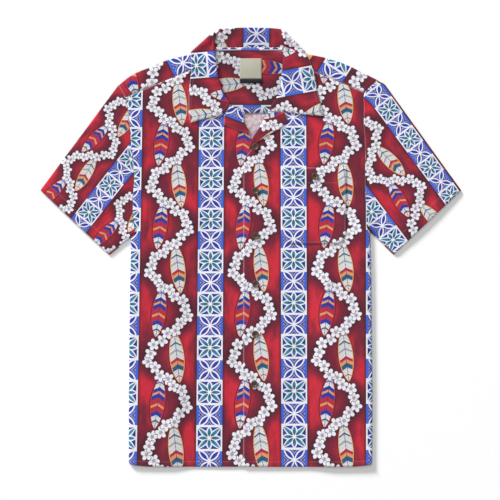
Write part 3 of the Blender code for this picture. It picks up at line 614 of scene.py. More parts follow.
def addMesh(name, points, faces, uv, slots, looks):
    # uv in mm of flat cloth for each vertex
    mesh = bpy.data.meshes.new(name)
    points = np.array(points, float)
    points[:, 2] = np.maximum(points[:, 2], 0)
    mesh.from_pydata((points * mm).tolist(), [], faces if isinstance(faces, list) else faces.tolist())
    uvLayer = mesh.uv_layers.new(name="flatCut")
    corner = np.empty(len(mesh.loops), np.int32)
    mesh.loops.foreach_get("vertex_index", corner)
    uvLayer.data.foreach_set("uv", (np.asarray(uv)[corner] * mm).astype(np.float32).ravel())
    mesh.polygons.foreach_set("use_smooth", np.ones(len(mesh.polygons), bool))
    if slots is not None:
        mesh.polygons.foreach_set("material_index", np.asarray(slots).astype(np.int32))
    for look in looks:
        mesh.materials.append(look)
    mesh.update()
    obj = bpy.data.objects.new(name, mesh)
    bpy.context.scene.collection.objects.link(obj)
    return obj


def cloth(name, mid, wall, uv, nodes, looks=None, cells=None, wrap=False, outside=(0, 0)):
    # one cut of cloth: its shell and its print
    points, faces, source, inside, edge = shell(mid, wall, cells, wrap, outside)
    obj = addMesh(name, points, faces, uv.reshape(-1, 2)[source], inside, looks or [cotton, reverse])
    # the rim's points, for the paler rims: worn pale ground and painted highlight
    obj.data.attributes.new("edgeWear", "FLOAT", "POINT").data.foreach_set("value", edge.astype(np.float32))
    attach(obj, "root")
    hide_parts(*nodes)


def printAt(x, y, middle, turn, scale=1.0, between=None):
    # place in the print: the distance from middle, turned and divided by the scale; middle is a point on a band's
    # middle line at a lower tile's foot, and the scale may differ across, along and outside that band
    c, s = math.cos(math.radians(turn)), math.sin(math.radians(turn))
    wide, tall = np.broadcast_to(scale, 2)
    dx, dy = x - middle[0], y - middle[1]
    u, half = (dx * c + dy * s) / wide, printDesign["bandHalf"]
    if between:
        u = np.where(np.abs(u) > half, np.sign(u) * (half + (np.abs(u) - half) * wide / between), u)
    return np.stack([u, (dy * c - dx * s) / tall - printDesign["tileFoot"]], -1)


# middles of the bands on the body at topY and at the hem, where the print is a little wider spaced; how much lower the
# left front's print lies; and how the print bows along the body
bodyBands = {"topY": 240, "down": 624, "top": (-211.15, -68.25, 73.75, 223.95), "hem": (-222.2, -73.0, 76.5, 223.95),
             "leftShift": -2.4, "bow": 0.000141, "bowY": -11.75}


def bodyPrint(x, y, left):
    # across, one period from each band's middle to the next; along, Y and the bow times the square of Y from bowY
    d = bodyBands
    t = (d["topY"] - y) / d["down"]
    m0, m1, m2, m3 = (top + (hem - top) * t for top, hem in zip(d["top"], d["hem"]))
    u = np.where(x < m1, (x - m1) / (m1 - m0), np.where(x < m2, (x - m1) / (m2 - m1), 1 + (x - m2) / (m3 - m2)))
    shift = d["leftShift"] if left else 0.0
    return np.stack([u * printDesign["period"], y + shift + d["bow"] * (y - d["bowY"]) ** 2], -1)


def unfolded(mid, start):
    # X of each point as if its run beyond column `start` lay flat: that column's X plus the length along the run
    step = np.linalg.norm(np.diff(mid, axis=1), axis=-1)
    step[:, :start] = 0
    out = np.concatenate([np.zeros((len(mid), 1)), np.cumsum(step, 1)], 1)
    way = np.sign(mid[:, start, 0] - mid[:, start - 1, 0])[:, None]
    return np.where(np.arange(mid.shape[1]) <= start, mid[..., 0], mid[:, start:start + 1, 0] + way * out)


# creases: from x0 y0 to x1 y1, half width across, height; a wave along keeps them uneven
creases = table(
    "x0 y0 x1 y1 wide high",
    (-20, 205, -66, 168, 7, 1.1), (-6, 186, -40, 158, 6, 1.3), (-16, 160, -60, 128, 9, 0.8),
    (30, 180, 62, 150, 10, 0.8), (196, 60, 150, 92, 12, 1.2), (198, 100, 150, 120, 10, 1.0),
    (199, 20, 140, 6, 13, 1.2), (195, -20, 120, -70, 17, 0.9), (196, 150, 160, 190, 11, 0.8),
    (-203, 60, -150, 96, 12, 1.2), (-204, 105, -158, 132, 10, 1.0), (-205, 15, -150, -20, 13, 1.2),
    (-200, -40, -120, -100, 17, 0.9), (-207, 160, -165, 200, 11, 0.9), (150, -120, 120, -300, 24, 0.8),
    (60, -60, 50, -260, 22, 0.7), (-60, -20, -80, -210, 24, 0.7), (-140, -130, -150, -330, 22, 0.8),
    (-30, 40, -34, -120, 15, 0.6), (190, -180, 160, -350, 14, 0.8), (-190, -200, -176, -360, 13, 0.8),
    (100, 60, 120, -10, 18, 0.5), (-100, 150, -110, 20, 20, 0.6), (20, -280, 36, -380, 12, 0.7),
    (-60, -290, -50, -381, 13, 0.7), (120, -310, 110, -381, 11, 0.6), (212, 120, 262, 60, 9, 1.3),
    (214, 70, 246, 22, 8, 1.4), (210, 170, 290, 90, 13, 0.9), (216, 232, 300, 160, 14, 0.8),
    (240, 40, 300, 50, 12, 0.7), (300, 150, 340, 96, 12, 0.7), (-214, 120, -262, 62, 9, 1.3),
    (-212, 60, -244, 18, 8, 1.4), (-216, 170, -292, 96, 13, 0.9), (-222, 224, -300, 150, 14, 0.8),
    (-240, 40, -296, 46, 12, 0.7), (-300, 140, -338, 92, 12, 0.7), (120, 268, 186, 256, 10, 0.6),
    (-120, 268, -190, 250, 10, 0.6), (70, 250, 112, 300, 12, 0.5), (-66, 250, -96, 302, 12, 0.5),
    (-40, 300, 30, 306, 13, 0.5), (10, 250, 40, 330, 12, 0.4))


def ridge(x, y, row, bend, rate, phase, past, ease):
    # share t of the way along the row's line, and the ridge's height: a bell across the line, which sways by bend
    # widths in a sine of t, tapered to nothing a little past both ends
    x0, y0, x1, y1, wide, high = row
    dx, dy = x1 - x0, y1 - y0
    span = math.hypot(dx, dy)
    t = ((x - x0) * dx + (y - y0) * dy) / span ** 2
    off = ((x - x0) * dy - (y - y0) * dx) / span + bend * wide * np.sin(t * rate + phase)
    taper = smooth((t + past) / ease) * smooth((1 + past - t) / ease)
    return t, high * taper * np.exp(-(off / wide) ** 2)


def creaseLift(x, y):
    # the ridges, each a little uneven along its line, and a slow swell over all
    lift = 0.28 * (1 + np.sin(x / 41 + 1.7 * np.sin(y / 97)) * np.sin(y / 63 + 0.8))
    for row in zip(*creases.values()):
        t, height = ridge(x, y, row, 0.16, 7, row[0], 0.18, 0.4)
        lift = lift + height * (0.8 + 0.2 * np.sin(t * 11 + row[1]))
    return lift * smooth((395 - np.abs(y)) / 30 + 0.45)


# where the whole stack stands off the floor in soft troughs, seen from below
floorCreases = table(
    "x0 y0 x1 y1 wide high",
    (-62, -320, -30, -60, 14, 1.2), (44, -345, 74, -120, 16, 1.1), (12, -40, -52, 122, 13, 1.0),
    (92, 10, 60, 168, 12, 0.9), (-112, -120, -98, 70, 12, 0.9), (122, -230, 132, -50, 12, 0.8),
    (-140, -345, -122, -230, 11, 0.9), (-20, 140, 34, 60, 10, 0.7), (0, -360, -6, -250, 10, 0.8),
    (-90, 130, -60, 210, 10, 0.8), (256, 66, 318, 108, 10, 1.0), (246, 190, 300, 138, 10, 0.9),
    (-254, 62, -316, 106, 10, 1.0), (-248, 186, -300, 134, 10, 0.9))


def floorLift(x, y):
    # the troughs' ridges and a slow swell in the body's middle, eased to nothing at the body's sides and the hem
    inside = np.where(y < 30, 206 - np.abs(x), 400)
    swell = 1 + np.sin(x / 37 + y / 71) * np.sin(y / 49 - x / 83)
    lift = 0.22 * swell * smooth((190 - np.abs(x)) / 40) * smooth((236 - y) / 40)
    for row in zip(*floorCreases.values()):
        lift = lift + ridge(x, y, row, 0.2, 6, row[1], 0.1, 0.35)[1]
    return lift * smooth((inside - 12) / 30) * smooth((y - hemY - 4) / 30)


class Heights:
    # the top of what lies on the floor so far, on a square that reaches half each way, in cells of the given size
    half, size = 410, 2

    def __init__(self):
        count = 2 * self.half // self.size
        self.field = np.zeros((count, count))

    def cell(self, x, y):
        # column and row with their fractions, kept inside the square
        return [np.clip((np.asarray(a) + self.half) / self.size, 0, len(self.field) - 2) for a in (x, y)]

    def add(self, mid, wall):
        # the grid is cut finer than the cells, and each point's top is put into its cell
        for axis in (0, 1):
            mid = refined(mid, partsOf(mid, axis, 1.6), axis, straight=True)
        i, j = self.cell(mid[..., 0], mid[..., 1])
        np.maximum.at(self.field, (np.rint(i).astype(int), np.rint(j).astype(int)), mid[..., 2] + wall / 2)

    def look(self, field, x, y):
        # even mixture of the four cells about each point
        i, j = self.cell(x, y)
        a, b = i.astype(int), j.astype(int)
        s, t = i - a, j - b
        return ((field[a, b] * (1 - s) + field[a + 1, b] * s) * (1 - t)
                + (field[a, b + 1] * (1 - s) + field[a + 1, b + 1] * s) * t)

    def rest(self, x, y, reach=3):
        # the highest within reach cells, then the mean over the same reach, so that it never dips below
        field = self.field
        for pick in (np.max, np.mean):
            for axis in (0, 1):
                field = pick([np.roll(field, k, axis) for k in range(-reach, reach + 1)], axis=0)
        return self.look(field, x, y)

    def top(self, x, y):
        # the height itself at each point
        return self.look(self.field, x, y)


heights = Heights()
topRuns = np.array([112, 98, 84, 70, 45, 22, 9], float)  # columns of a lying panel, in from its side edge
quarter = np.radians([90, 45, 0, -45, -90])  # angles round a fold, from its top to its underside


def levelsUp(side):
    # Y of the lower part's rows, from the hem to the underarm
    top = underarmY(side)
    return np.array([hemY, -350, -300, -250, -195, -140, -90, -50, top - 45, top - 18, top])[:, None]


def hemCurl(x):
    # the hem's ends turn up the sheet, by 4.8 mm times the cube of the share of the way from 150 to 213 mm out
    return 4.8 * np.clip((np.abs(x) - 150) / 63, 0, 1) ** 3


def sidePuff(side, x, y):
    # the fronts stand 0.8 mm higher along the side edge, eased to nothing by 33 mm in
    return 0.8 * (1 - smooth((side * (edgeX(side, y) - x) - 9) / 24))


def lowerPart(side, inner, middle, kind):
    # rows from the hem to the underarm; columns from the inner edge out, a half ellipse round the side edge, and under
    y = levelsUp(side)
    edge = edgeX(side, y)
    x = np.concatenate([np.broadcast_to(np.array(inner, float), (len(y), len(inner))), edge - side * topRuns], 1)
    z = middle(x, y + 0 * x) + (sidePuff(side, x, y) if kind == "front" else 0.0)
    reach, under, fold = {"front": (clothWall / 2, floorMid, frontFold),
                          "back": (clothWall / 2 + layer + 3.0, floorMid + layer, backFold)}[kind]
    high, half = (z[:, -1:] + under) / 2, (z[:, -1:] - under) / 2
    arcX = edge - side * (reach + fold * (1 - np.cos(quarter)))
    runX = edge - side * np.array([22, 42, sideTuck])
    x = np.concatenate([x, arcX, runX], 1)
    z = np.concatenate([z, high + half * np.sin(quarter), np.full(runX.shape, under)], 1)
    out = np.arange(x.shape[1]) - len(inner) - len(topRuns)
    below = np.clip(side * (edge - x) / sideTuck, 0, 1) * (out > 4)
    slope = smooth((y - underarmY(side) + 120) / 120)
    drop = np.where(out > 0, (0.95 * frontFold * np.minimum(out, 2) / 2 + 0.6) * slope, 0)
    return np.stack([x, y - drop - sideTopDrop * below * slope + hemCurl(x) * (y == hemY), z], -1)


def finerBody(mid, low, up, rolls, size):
    # the lower and the upper part are cut finer apart, so that the outline may turn sharply at the underarm; also the
    # parts of each column, and the underarm's row
    colParts = partsOf(low, 1, size, np.where(rolls, 2, 1))
    both = refined(mid, colParts, 1)
    lowFine = refined(both[:len(low)], partsOf(low, 0, size))
    upFine = refined(both[len(low) - 1:], partsOf(up, 0, size))
    return np.concatenate([lowFine, upFine[1:]]), colParts, len(lowFine) - 1


fronts = {
    1: {"name": "frontLeft", "node": "front_left", "inner": [frontEdge, 3, 25, 49],
        "cut": {"flat": (300, 708), "area": 178000, "held": "laid", "on": ["frontRight", "backPanel"]}},
    -1: {"name": "frontRight", "node": "front_right", "inner": [underEdge, 12, -12, -45, -75],
         "cut": {"flat": (322, 704), "area": 190000, "held": "laid", "on": ["backPanel"]}},
}
for side, f in fronts.items():
    def middle(x, y, side=side):
        return frontMid(side, x, y)

    low = lowerPart(side, f["inner"], middle, "front")
    across = len(f["inner"]) + len(topRuns) + 1
    bottom = low[-1, :across, :2]
    run = runOf(bottom)
    top = along(line(yokeSeam[side])[::-1], run / run[-1])
    top[:, 1] -= gap / 2
    left, right = line(innerEdge[side]), line(armhole[side])[:9].copy()
    right[0], right[-1], left[-1], left[0] = bottom[-1], top[-1], top[0], bottom[0]
    flat = coons(bottom, top, left, right)
    up = withZ(flat, middle(flat[..., 0], flat[..., 1]))
    up[0] = low[-1, :across]
    upper = np.repeat(up[1:, -1:], low.shape[1], 1)
    upper[:, :across] = up[1:]
    mid = np.concatenate([low, upper])
    # finer, with the height worked out again on the part that lies on top
    grid, colParts, joint = finerBody(mid, low, up, np.arange(mid.shape[1] - 1) >= across - 1, 4.5)
    last = colParts[:across - 1].sum()
    onTop = np.arange(grid.shape[1]) <= last
    x, y = grid[..., 0], grid[..., 1]
    raised = middle(x, y) + sidePuff(side, x, y) * (y < underarmY(side) + 40)
    grid[..., 2] += (raised - grid[..., 2]) * smooth((side * (edgeX(side, y) - x) - 9) / 12) * onTop
    onRoll = np.clip((grid[..., 2] - 1.2) / 2.5, 0, 1) * (x * side > 150)
    grid[..., 2] += creaseLift(x, y) * np.where(onTop, 1, onRoll)
    grid[..., 2] += 0.35 * smooth((hemY + hemDeep - y) / 2.2)  # the turned hem
    cells = np.ones((len(grid) - 1, grid.shape[1] - 1), bool)
    cells[joint:, last:] = False
    uv = bodyPrint(unfolded(grid, last), y, side == 1)
    grid[..., 2] += floorLift(x, y)
    cloth(f["name"], grid, clothWall, uv, [f["node"]], cells=cells, outside=(5, 5))
    f.update(coarse=mid, across=across, first=len(low) - 1)
    heights.add(grid[:, :last + 1], clothWall)
print("fronts made")

# back: both sides' columns with four between them
leftLow, rightLow = lowerPart(1, [], backMid, "back"), lowerPart(-1, [], backMid, "back")
centre = np.array([60.0, 20.0, -20.0, -60.0])
y = leftLow[:, :1, 1] + (rightLow[:, :1, 1] - leftLow[:, :1, 1]) * np.array([0.2, 0.4, 0.6, 0.8])
y[0] = hemY
x = centre + 0 * y
low = np.concatenate([leftLow[:, ::-1], np.stack([x, y, backMid(x, y)], -1), rightLow], 1)
skip = 7  # columns of each side that are turned under
bottom = low[-1, skip:low.shape[1] - skip]
a, b = line(armhole[1])[1:8, None].copy(), line(armhole[-1])[1:8, None].copy()
a[-1, 0, 1] = b[-1, 0, 1] = backSeamY - gap / 2
t = ((bottom[:, 0] - bottom[0, 0]) / (bottom[-1, 0] - bottom[0, 0]))[None, :, None]
flat = a + (b - a) * t
upper = np.zeros((7, low.shape[1], 3))
upper[:, skip:-skip] = withZ(flat, backMid(flat[..., 0], flat[..., 1]))
upper[:, :skip], upper[:, -skip:] = upper[:, skip:skip + 1], upper[:, -skip - 1:-skip]
mid = np.concatenate([low, upper])
mid[0, :, 1] += 0.6
backCoarse, backLow = mid, len(low)
rolls = np.minimum(np.arange(mid.shape[1] - 1), np.arange(mid.shape[1] - 1)[::-1]) < skip
grid, colParts, joint = finerBody(mid, low, mid[backLow - 1:, skip:-skip], rolls, 6)
skipFine = colParts[:skip].sum()
middleRun = slice(skipFine, grid.shape[1] - skipFine)
x, y = grid[:, middleRun, 0], grid[:, middleRun, 1]
near = smooth((np.minimum(212 - x, x + 212) - 12) / 14)
grid[:, middleRun, 2] += (backMid(x, y) - grid[:, middleRun, 2]) * near
grid[..., 2] = np.maximum(grid[..., 2], floorMid)
cells = np.ones((len(grid) - 1, grid.shape[1] - 1), bool)
cells[joint:, :skipFine] = cells[joint:, -skipFine:] = False
last = grid.shape[1] - skipFine - 1
flatLeft, flatRight = unfolded(grid, last), unfolded(grid[:, ::-1] * [-1, 1, 1], last)[:, ::-1]
flatX = np.where(np.arange(grid.shape[1]) < skipFine, -flatRight, flatLeft)
grid[..., 2] += floorLift(grid[..., 0], grid[..., 1])
cloth("backPanel", grid, clothWall, bodyPrint(-flatX, grid[..., 1], False), ["back"], cells=cells,
      looks=[reverse, cotton], outside=(len(grid) // 2, grid.shape[1] // 2))
print("back made")

# outer yoke: front strips, the roll along the shoulders and the part on the back
yokePrint = {  # the print of each half, and the shoulder line from its outer to its inner end
    1: {"middle": (168.9, 346.4), "turn": -32, "lineA": (220.9, 292.9), "lineB": (104, 335.8)},
    -1: {"middle": (-110.4, 305.3), "turn": 26.4, "lineA": (-231.1, 282.8), "lineB": (-112, 335)},
}
yokeScale = 1.05
yokeJoin = {"half": 85, "print": 162}  # half the stretch where the halves' prints meet, and all of it as printed
shareAcross = np.array([0, 0.16, 0.36, 0.56, 0.76, 0.9, 1])


def normalUp(points):
    # unit vectors square to a line, those that point up the sheet
    step = np.gradient(points, axis=0)
    n = unitOf(np.stack([step[:, 1], -step[:, 0]], 1))
    return n * np.sign(n[:, 1:2])


def yokeSide(side):
    # rows: front seam to the shoulder, half an ellipse round it, then down the back to its seam
    outline, neckX = along(line(shoulder[side]), shareAcross), 58.0 * side - 2
    out = normalUp(outline)
    seam = along(line(yokeSeam[side]), shareAcross)
    seam[:, 1] += gap / 2
    inset = outline - out * (yokeFold + clothWall / 2)
    a = line(armhole[side])
    inset[0] = a[10]
    backEnd = np.array([neckX, backSeamY + gap / 2])
    t = ((inset[:, 0] - inset[0, 0]) / (inset[-1, 0] - inset[0, 0]))[:, None]
    seamBack = np.array([a[7, 0], backSeamY + gap / 2]) * (1 - t) + backEnd * t
    strip = np.stack([seam, (seam + inset) / 2, inset])
    strip[1, 0] = a[9]
    front = withZ(strip, floorMid + 2 * layer + fallLift(strip[..., 0], strip[..., 1]))
    zLow = backMid(inset[:, 0], inset[:, 1])
    angle = quarter[1:4, None]
    roll = withZ(inset + out * yokeFold * np.cos(angle)[..., None],
                 (front[2, :, 2] + zLow) / 2 + (front[2, :, 2] - zLow) / 2 * np.sin(angle))
    backInset = inset.copy()
    backInset[-1] = (neckX, neckSeamY)
    rest = backInset + (seamBack - backInset) * np.array([0, 0.23, 0.5, 1])[:, None, None]
    rest[1, 0], rest[2, 0] = a[9], a[8]
    return np.concatenate([front, roll, withZ(rest, backMid(rest[..., 0], rest[..., 1]))])


def openedOver(x, y, a, way, behind):
    # where each point would lie if what is behind were opened out over the line through a: the points there move by
    # twice their distance from it; also that distance
    off = -(x - a[0]) * way[1] + (y - a[1]) * way[0]
    return np.where(behind, x + 2 * off * way[1], x), np.where(behind, y - 2 * off * way[0], y), off


yokeLeft, yokeRight = yokeSide(1), yokeSide(-1)
n = len(shareAcross)
t = np.linspace(0, 1, 5)[1:-1, None]  # three columns between the halves
between = yokeLeft[:, -1:] + (yokeRight[:, -1:] - yokeLeft[:, -1:]) * t
between[6:, :, 2] = backMid(between[6:, :, 0], between[6:, :, 1])
yokeCoarse = np.concatenate([yokeLeft, between, yokeRight[:, ::-1]], 1)


def yokeUv(grid, low):
    # each half is read off its front strip's print; what lies behind the shoulder is mirrored over the shoulder line
    x, y, uvs = grid[..., 0], grid[..., 1], {}
    behind = np.arange(len(grid))[:, None] >= low
    for side, p in yokePrint.items():
        way = unitOf(np.array(p["lineB"]) - np.array(p["lineA"]))
        px, py, _ = openedOver(x, y, p["lineA"], way, behind)
        uvs[side] = printAt(px, py, p["middle"], p["turn"], yokeScale)
    uv = np.where(x[..., None] > 0, uvs[1], uvs[-1])
    # across the middle of the back each row runs evenly from one half's print to the other's, whole repeats away
    half, repeat = yokeJoin["half"], np.array([printDesign["period"], printDesign["tilePair"]])
    for k, row in enumerate(x):
        a, b = (np.array([np.interp(side * half, row[::-1], uvs[side][k, ::-1, c]) for c in (0, 1)])
                for side in (1, -1))
        b += repeat * np.round((a - [yokeJoin["print"], 0] - b) / repeat)
        between = np.abs(row) < half
        uv[k, between] = a + (b - a) * (half - row[between, None]) / (2 * half)
    return uv


rowParts, colParts = partsOf(yokeCoarse, 0, 4.5, 2), partsOf(yokeCoarse, 1, 4.5)
grid = refined(refined(yokeCoarse, colParts, 1), rowParts)
stripRows, rollRows = rowParts[:2].sum(), rowParts[:6].sum()
leftCols, rightCols = colParts[:n - 1].sum(), colParts[:n + 3].sum()
row = np.arange(len(grid))[:, None]
onTop = row <= stripRows
x, y = grid[..., 0], grid[..., 1]
onRoll = np.clip((grid[..., 2] - 1.2) / 2.5, 0, 1) * (row < rollRows)
grid[..., 2] += creaseLift(x, y) * np.where(onTop, 1, onRoll)
grid[..., 2] += 0.3 * onTop * np.exp(-((row - 1.2) / 1.1) ** 2)  # the seam's turned edge
cells = np.ones((len(grid) - 1, grid.shape[1] - 1), bool)
cells[:rollRows, leftCols:rightCols] = False  # the neck
cloth("yokeOuter", grid, clothWall, yokeUv(grid, (stripRows + rollRows) // 2), ["yoke_outer"], cells=cells,
      outside=(3, 3))
heights.add(grid[:stripRows + 1, :leftCols + 1], clothWall)
heights.add(grid[:stripRows + 1, rightCols:], clothWall)

# inner yoke, on the outer yoke's own points; its print lies sideways
innerYokePrint = {"middle": (-15.0, 226.1), "turn": -90}
mid = yokeCoarse[6:10].copy()
mid[..., 2] += layer
# its upper edge keeps clear of the shoulders' rolls and of the neck's corners
mid[0, :n, 1] -= 5
mid[0, -n:, 1] -= 5
mid[0, [n - 2, 1 - n], 1] -= 4
mid[0, n - 1, 0] -= 2
mid[0, -n, 0] += 2
mid[-1, :, 1] = innerYokeY
mid[:, 0, 0] -= 2
mid[:, -1, 0] += 2
grid = finer(mid, 5)
x, y = grid[..., 0], grid[..., 1]
ripple = 0.5 * smooth((50 - np.abs(x)) / 30) * (1 + np.sin(x / 13 + y / 21))
grid[..., 2] += ripple * smooth((y - 236) / 20) * smooth((344 - y) / 20)
# the inner yoke wears inner, the copy with painted shade inside the neck
cloth("yokeInner", grid, clothWall, printAt(x, y, **innerYokePrint), ["yoke_inner"],
      looks=[inner, reverse], outside=(3, 3))
heights.add(grid, clothWall)
print("yokes made")

# sleeves: rings carried from the armhole's own points to the cuff; bow is how far the crown stands out past the
# straight line from shoulder to cuff
sleeves = {
    1: {"name": "sleeveLeft", "node": "sleeve_left", "bow": 6.5,
        "middle": (265.6, 201.0), "turn": 37.1, "scale": (0.75, 0.84), "between": 0.895,
        "cut": {"flat": (540, 262), "area": 63500, "held": "folded", "on": ["floor"]}},
    -1: {"name": "sleeveRight", "node": "sleeve_right", "bow": 0.0,
         "middle": (-236.6, 119.7), "turn": -38.0, "scale": 0.8, "between": None,
         "cut": {"flat": (540, 262), "area": 63500, "held": "folded", "on": ["floor"]}},
}
cuffFold, cuffHem = 3.6, 17.0
sleeveShares = np.concatenate([np.linspace(0, 0.16, 14)[:-1], np.linspace(0.16, 1, 50)])  # the rings' places along it
sleeveTop = {}
for side, s in sleeves.items():
    # the armhole's points, up the front, over the shoulder and down the back, closed by a small arc at the underarm
    f = fronts[side]
    frontEnd = f["coarse"][f["first"]:f["first"] + 9, f["across"] - 1]
    yoke = yokeCoarse[:, 0 if side == 1 else -1]
    backEnd = backCoarse[backLow - 1:, skip if side == 1 else backCoarse.shape[1] - skip - 1]
    start = np.concatenate([frontEnd, yoke[1:9], backEnd[::-1]]) + [side * (gap + 0.1), 0, 0]
    start[[0, -1], 1] += 1.2
    high = len(frontEnd) + 2
    t = np.array([[0.25], [0.5], [0.75]])
    close = start[-1] + (start[0] - start[-1]) * t + np.sin(math.pi * t) * [side * 1.2, -0.9, 0]
    ring0 = np.concatenate([start, close])
    ends = line(cuff[side])
    # the cuff's points lie at the same shares of a flattened ring
    run = runOf(start[:, :2])
    topShare = run[:high] / run[high - 1]
    lowRun = run[high + 3:] - run[high + 3]
    lowShare = 1 - lowRun / lowRun[-1]
    cuffWay = unitOf(ends[1] - ends[0])
    inA, inB = ends[0] + cuffWay * cuffFold, ends[1] - cuffWay * cuffFold
    topZ, lowZ = floorMid + layer + sleevePuff, floorMid
    angle = quarter[1:4, None]
    under = np.radians([-45, 0, 45])[:, None]
    half, level = (topZ - lowZ) / 2, (topZ + lowZ) / 2
    target = np.concatenate([withZ(inA + (inB - inA) * topShare[:, None], topZ),
                             np.concatenate([inB + cuffWay * 3.0 * np.cos(angle), level + half * np.sin(angle)], 1),
                             withZ(inA + (inB - inA) * lowShare[:, None], lowZ),
                             np.concatenate([inA - cuffWay * 3.0 * np.cos(under), level + half * np.sin(under)], 1)])
    parts = partsOf(np.stack([ring0, target])[:, np.r_[:len(ring0), 0]], 1, 4.5, 2)
    parts[:high - 1] = np.maximum(parts[:high - 1], 3)
    ring0, target = (refined(r, parts, 0, wrap=True) for r in (ring0, target))
    highFine = parts[:high - 1].sum() + 1
    v = sleeveShares[:, None]
    grid = ring0 + (target - ring0) * v[..., None]
    grid[..., 2] = ring0[:, 2] + (target[:, 2] - ring0[:, 2]) * smooth(v / 0.42)
    # the upper side puffs up, and the cuff is a little open
    hump = np.sin(math.pi * np.linspace(0, 1, highFine))
    grid[:, :highFine, 2] += np.sin(math.pi * np.minimum(v / 0.8, 1)) * 0.5 * hump
    grid[:, :highFine, 2] += 1.8 * smooth((v - 0.35) / 0.6) * np.abs(hump) ** 0.7
    x, y = grid[..., 0], grid[..., 1]
    onTop = np.arange(len(ring0)) < highFine
    onRoll = np.clip((grid[..., 2] - 1.0) / 1.6, 0, 1) * 0.8
    fromCuff = (1 - v) * np.linalg.norm(target[:, :2] - ring0[:, :2], axis=1)
    grid[..., 2] += creaseLift(x, y) * np.where(onTop, 1, onRoll)
    grid[..., 2] += 0.35 * onTop * smooth((cuffHem - fromCuff) / 2.2)  # the turned hem
    grid[..., 2] += 0.25 * onTop * np.exp(-((v * 200 - 3) / 2.6) ** 2)  # the armhole seam's turned edge
    grid[..., 2] += floorLift(x, y)
    # the underside's print is read as if the sleeve were opened out over its upper edge
    a = line(shoulder[side])[0]
    way = unitOf(ends[1] - a)
    px, py, off = openedOver(x, y, a, way, np.arange(len(ring0)) >= highFine + parts[high - 1:high + 1].sum())
    uv = printAt(px, py, s["middle"], s["turn"], s["scale"], s["between"])
    bow = side * s["bow"] * smooth(v / 0.07) * (1 - v) * smooth(1 - np.abs(off) / 75)
    grid[..., :2] += bow[..., None] * [-way[1], way[0]]
    cloth(s["name"], grid, clothWall, uv, [s["node"]], wrap=True, outside=(8, 8))
    sleeveTop[side] = grid[:, :highFine]
    heights.add(grid[:, :highFine], clothWall)
print("sleeves made")

# collar: stand and fall in one run over the back of the neck, and a leaf on each side
collar = {
    "back": {"middle": (9.7, 355.6), "turn": 0,
             "cut": {"flat": (192, 92), "area": 11900, "held": "folded", "on": ["yokeInner"]}},
    1: {"name": "collarLeafLeft", "middle": (88.8, 291.1), "turn": 100.8,
        "cut": {"flat": (165, 94), "area": 9400, "held": "folded", "on": ["yokeOuter", "frontLeft"]}},
    -1: {"name": "collarLeafRight", "middle": (-75.3, 318.4), "turn": -86,
         "cut": {"flat": (166, 75), "area": 8300, "held": "folded", "on": ["yokeOuter", "frontRight"]}},
}
standMid = floorMid + layer / 2 + collarWall + gap
rows = table(
    "endY midY left right z",
    (neckSeamY + 0.6, neckSeamY + 0.6, 57.4, -62.2, standMid),
    (364, 364, 57.4, -62.2, standMid),
    (collarTopY - 7, collarTopY - 3.6, 52, -54.5, standMid),
    (collarTopY - 4.8, collarTopY - 1.5, 53, -55.5, standMid * 0.82),
    (collarTopY - 4.2, collarTopY - 0.9, 53, -55.5, standMid * 0.6),
    (collarTopY - 4.8, collarTopY - 1.5, 53, -55.5, standMid * 0.4),
    (collarTopY - 7, collarTopY - 3.6, 54, -57, collarWall / 2),
    (358, 356, 76, -82, collarWall / 2),
    (341, 331, 92, -100, collarWall / 2))
t = (1 - np.cos(np.linspace(0, math.pi, 33))) / 2
r = {key: value[:, None] for key, value in rows.items()}
x = r["left"] + (r["right"] - r["left"]) * t
y = r["endY"] + (r["midY"] - r["endY"]) * np.sin(math.pi * t) ** 0.5
mid = np.stack([x, y, r["z"] + 0 * x], -1)
rowParts = partsOf(mid, 0, 4, 2)
standGrid, foldRow = refined(mid, rowParts), rowParts[:4].sum()
x, y, row = standGrid[..., 0], standGrid[..., 1], np.arange(len(standGrid))[:, None]
swell = 0.35 * np.sin(x / 17) * np.sin(math.pi * np.clip((y - 348) / 32, 0, 1))
standGrid[..., 2] += np.where(row < foldRow, swell + 0.35, 0)
uv = printAt(x, np.where(row > foldRow, 2 * collarTopY - y, y), collar["back"]["middle"], collar["back"]["turn"])
# the collar's back wears inner on both sides, the copy with painted shade inside the neck
cloth("collarBack", standGrid, collarWall, uv, ["collar"], looks=[inner, inner], outside=(3, 3))
nose = np.radians([-50, -32, -15, 2, 20, 38, 55, 72])


def withNose(flat, z, inward, half, depth):
    # adds the roll along the first column: quarter of an ellipse out over the roll line and down
    out = flat[:, :1] + inward * depth * np.cos(nose)[:, None]
    return np.concatenate([withZ(out, z[:, :1] - half + half * np.sin(nose)), withZ(flat, z)], 1)


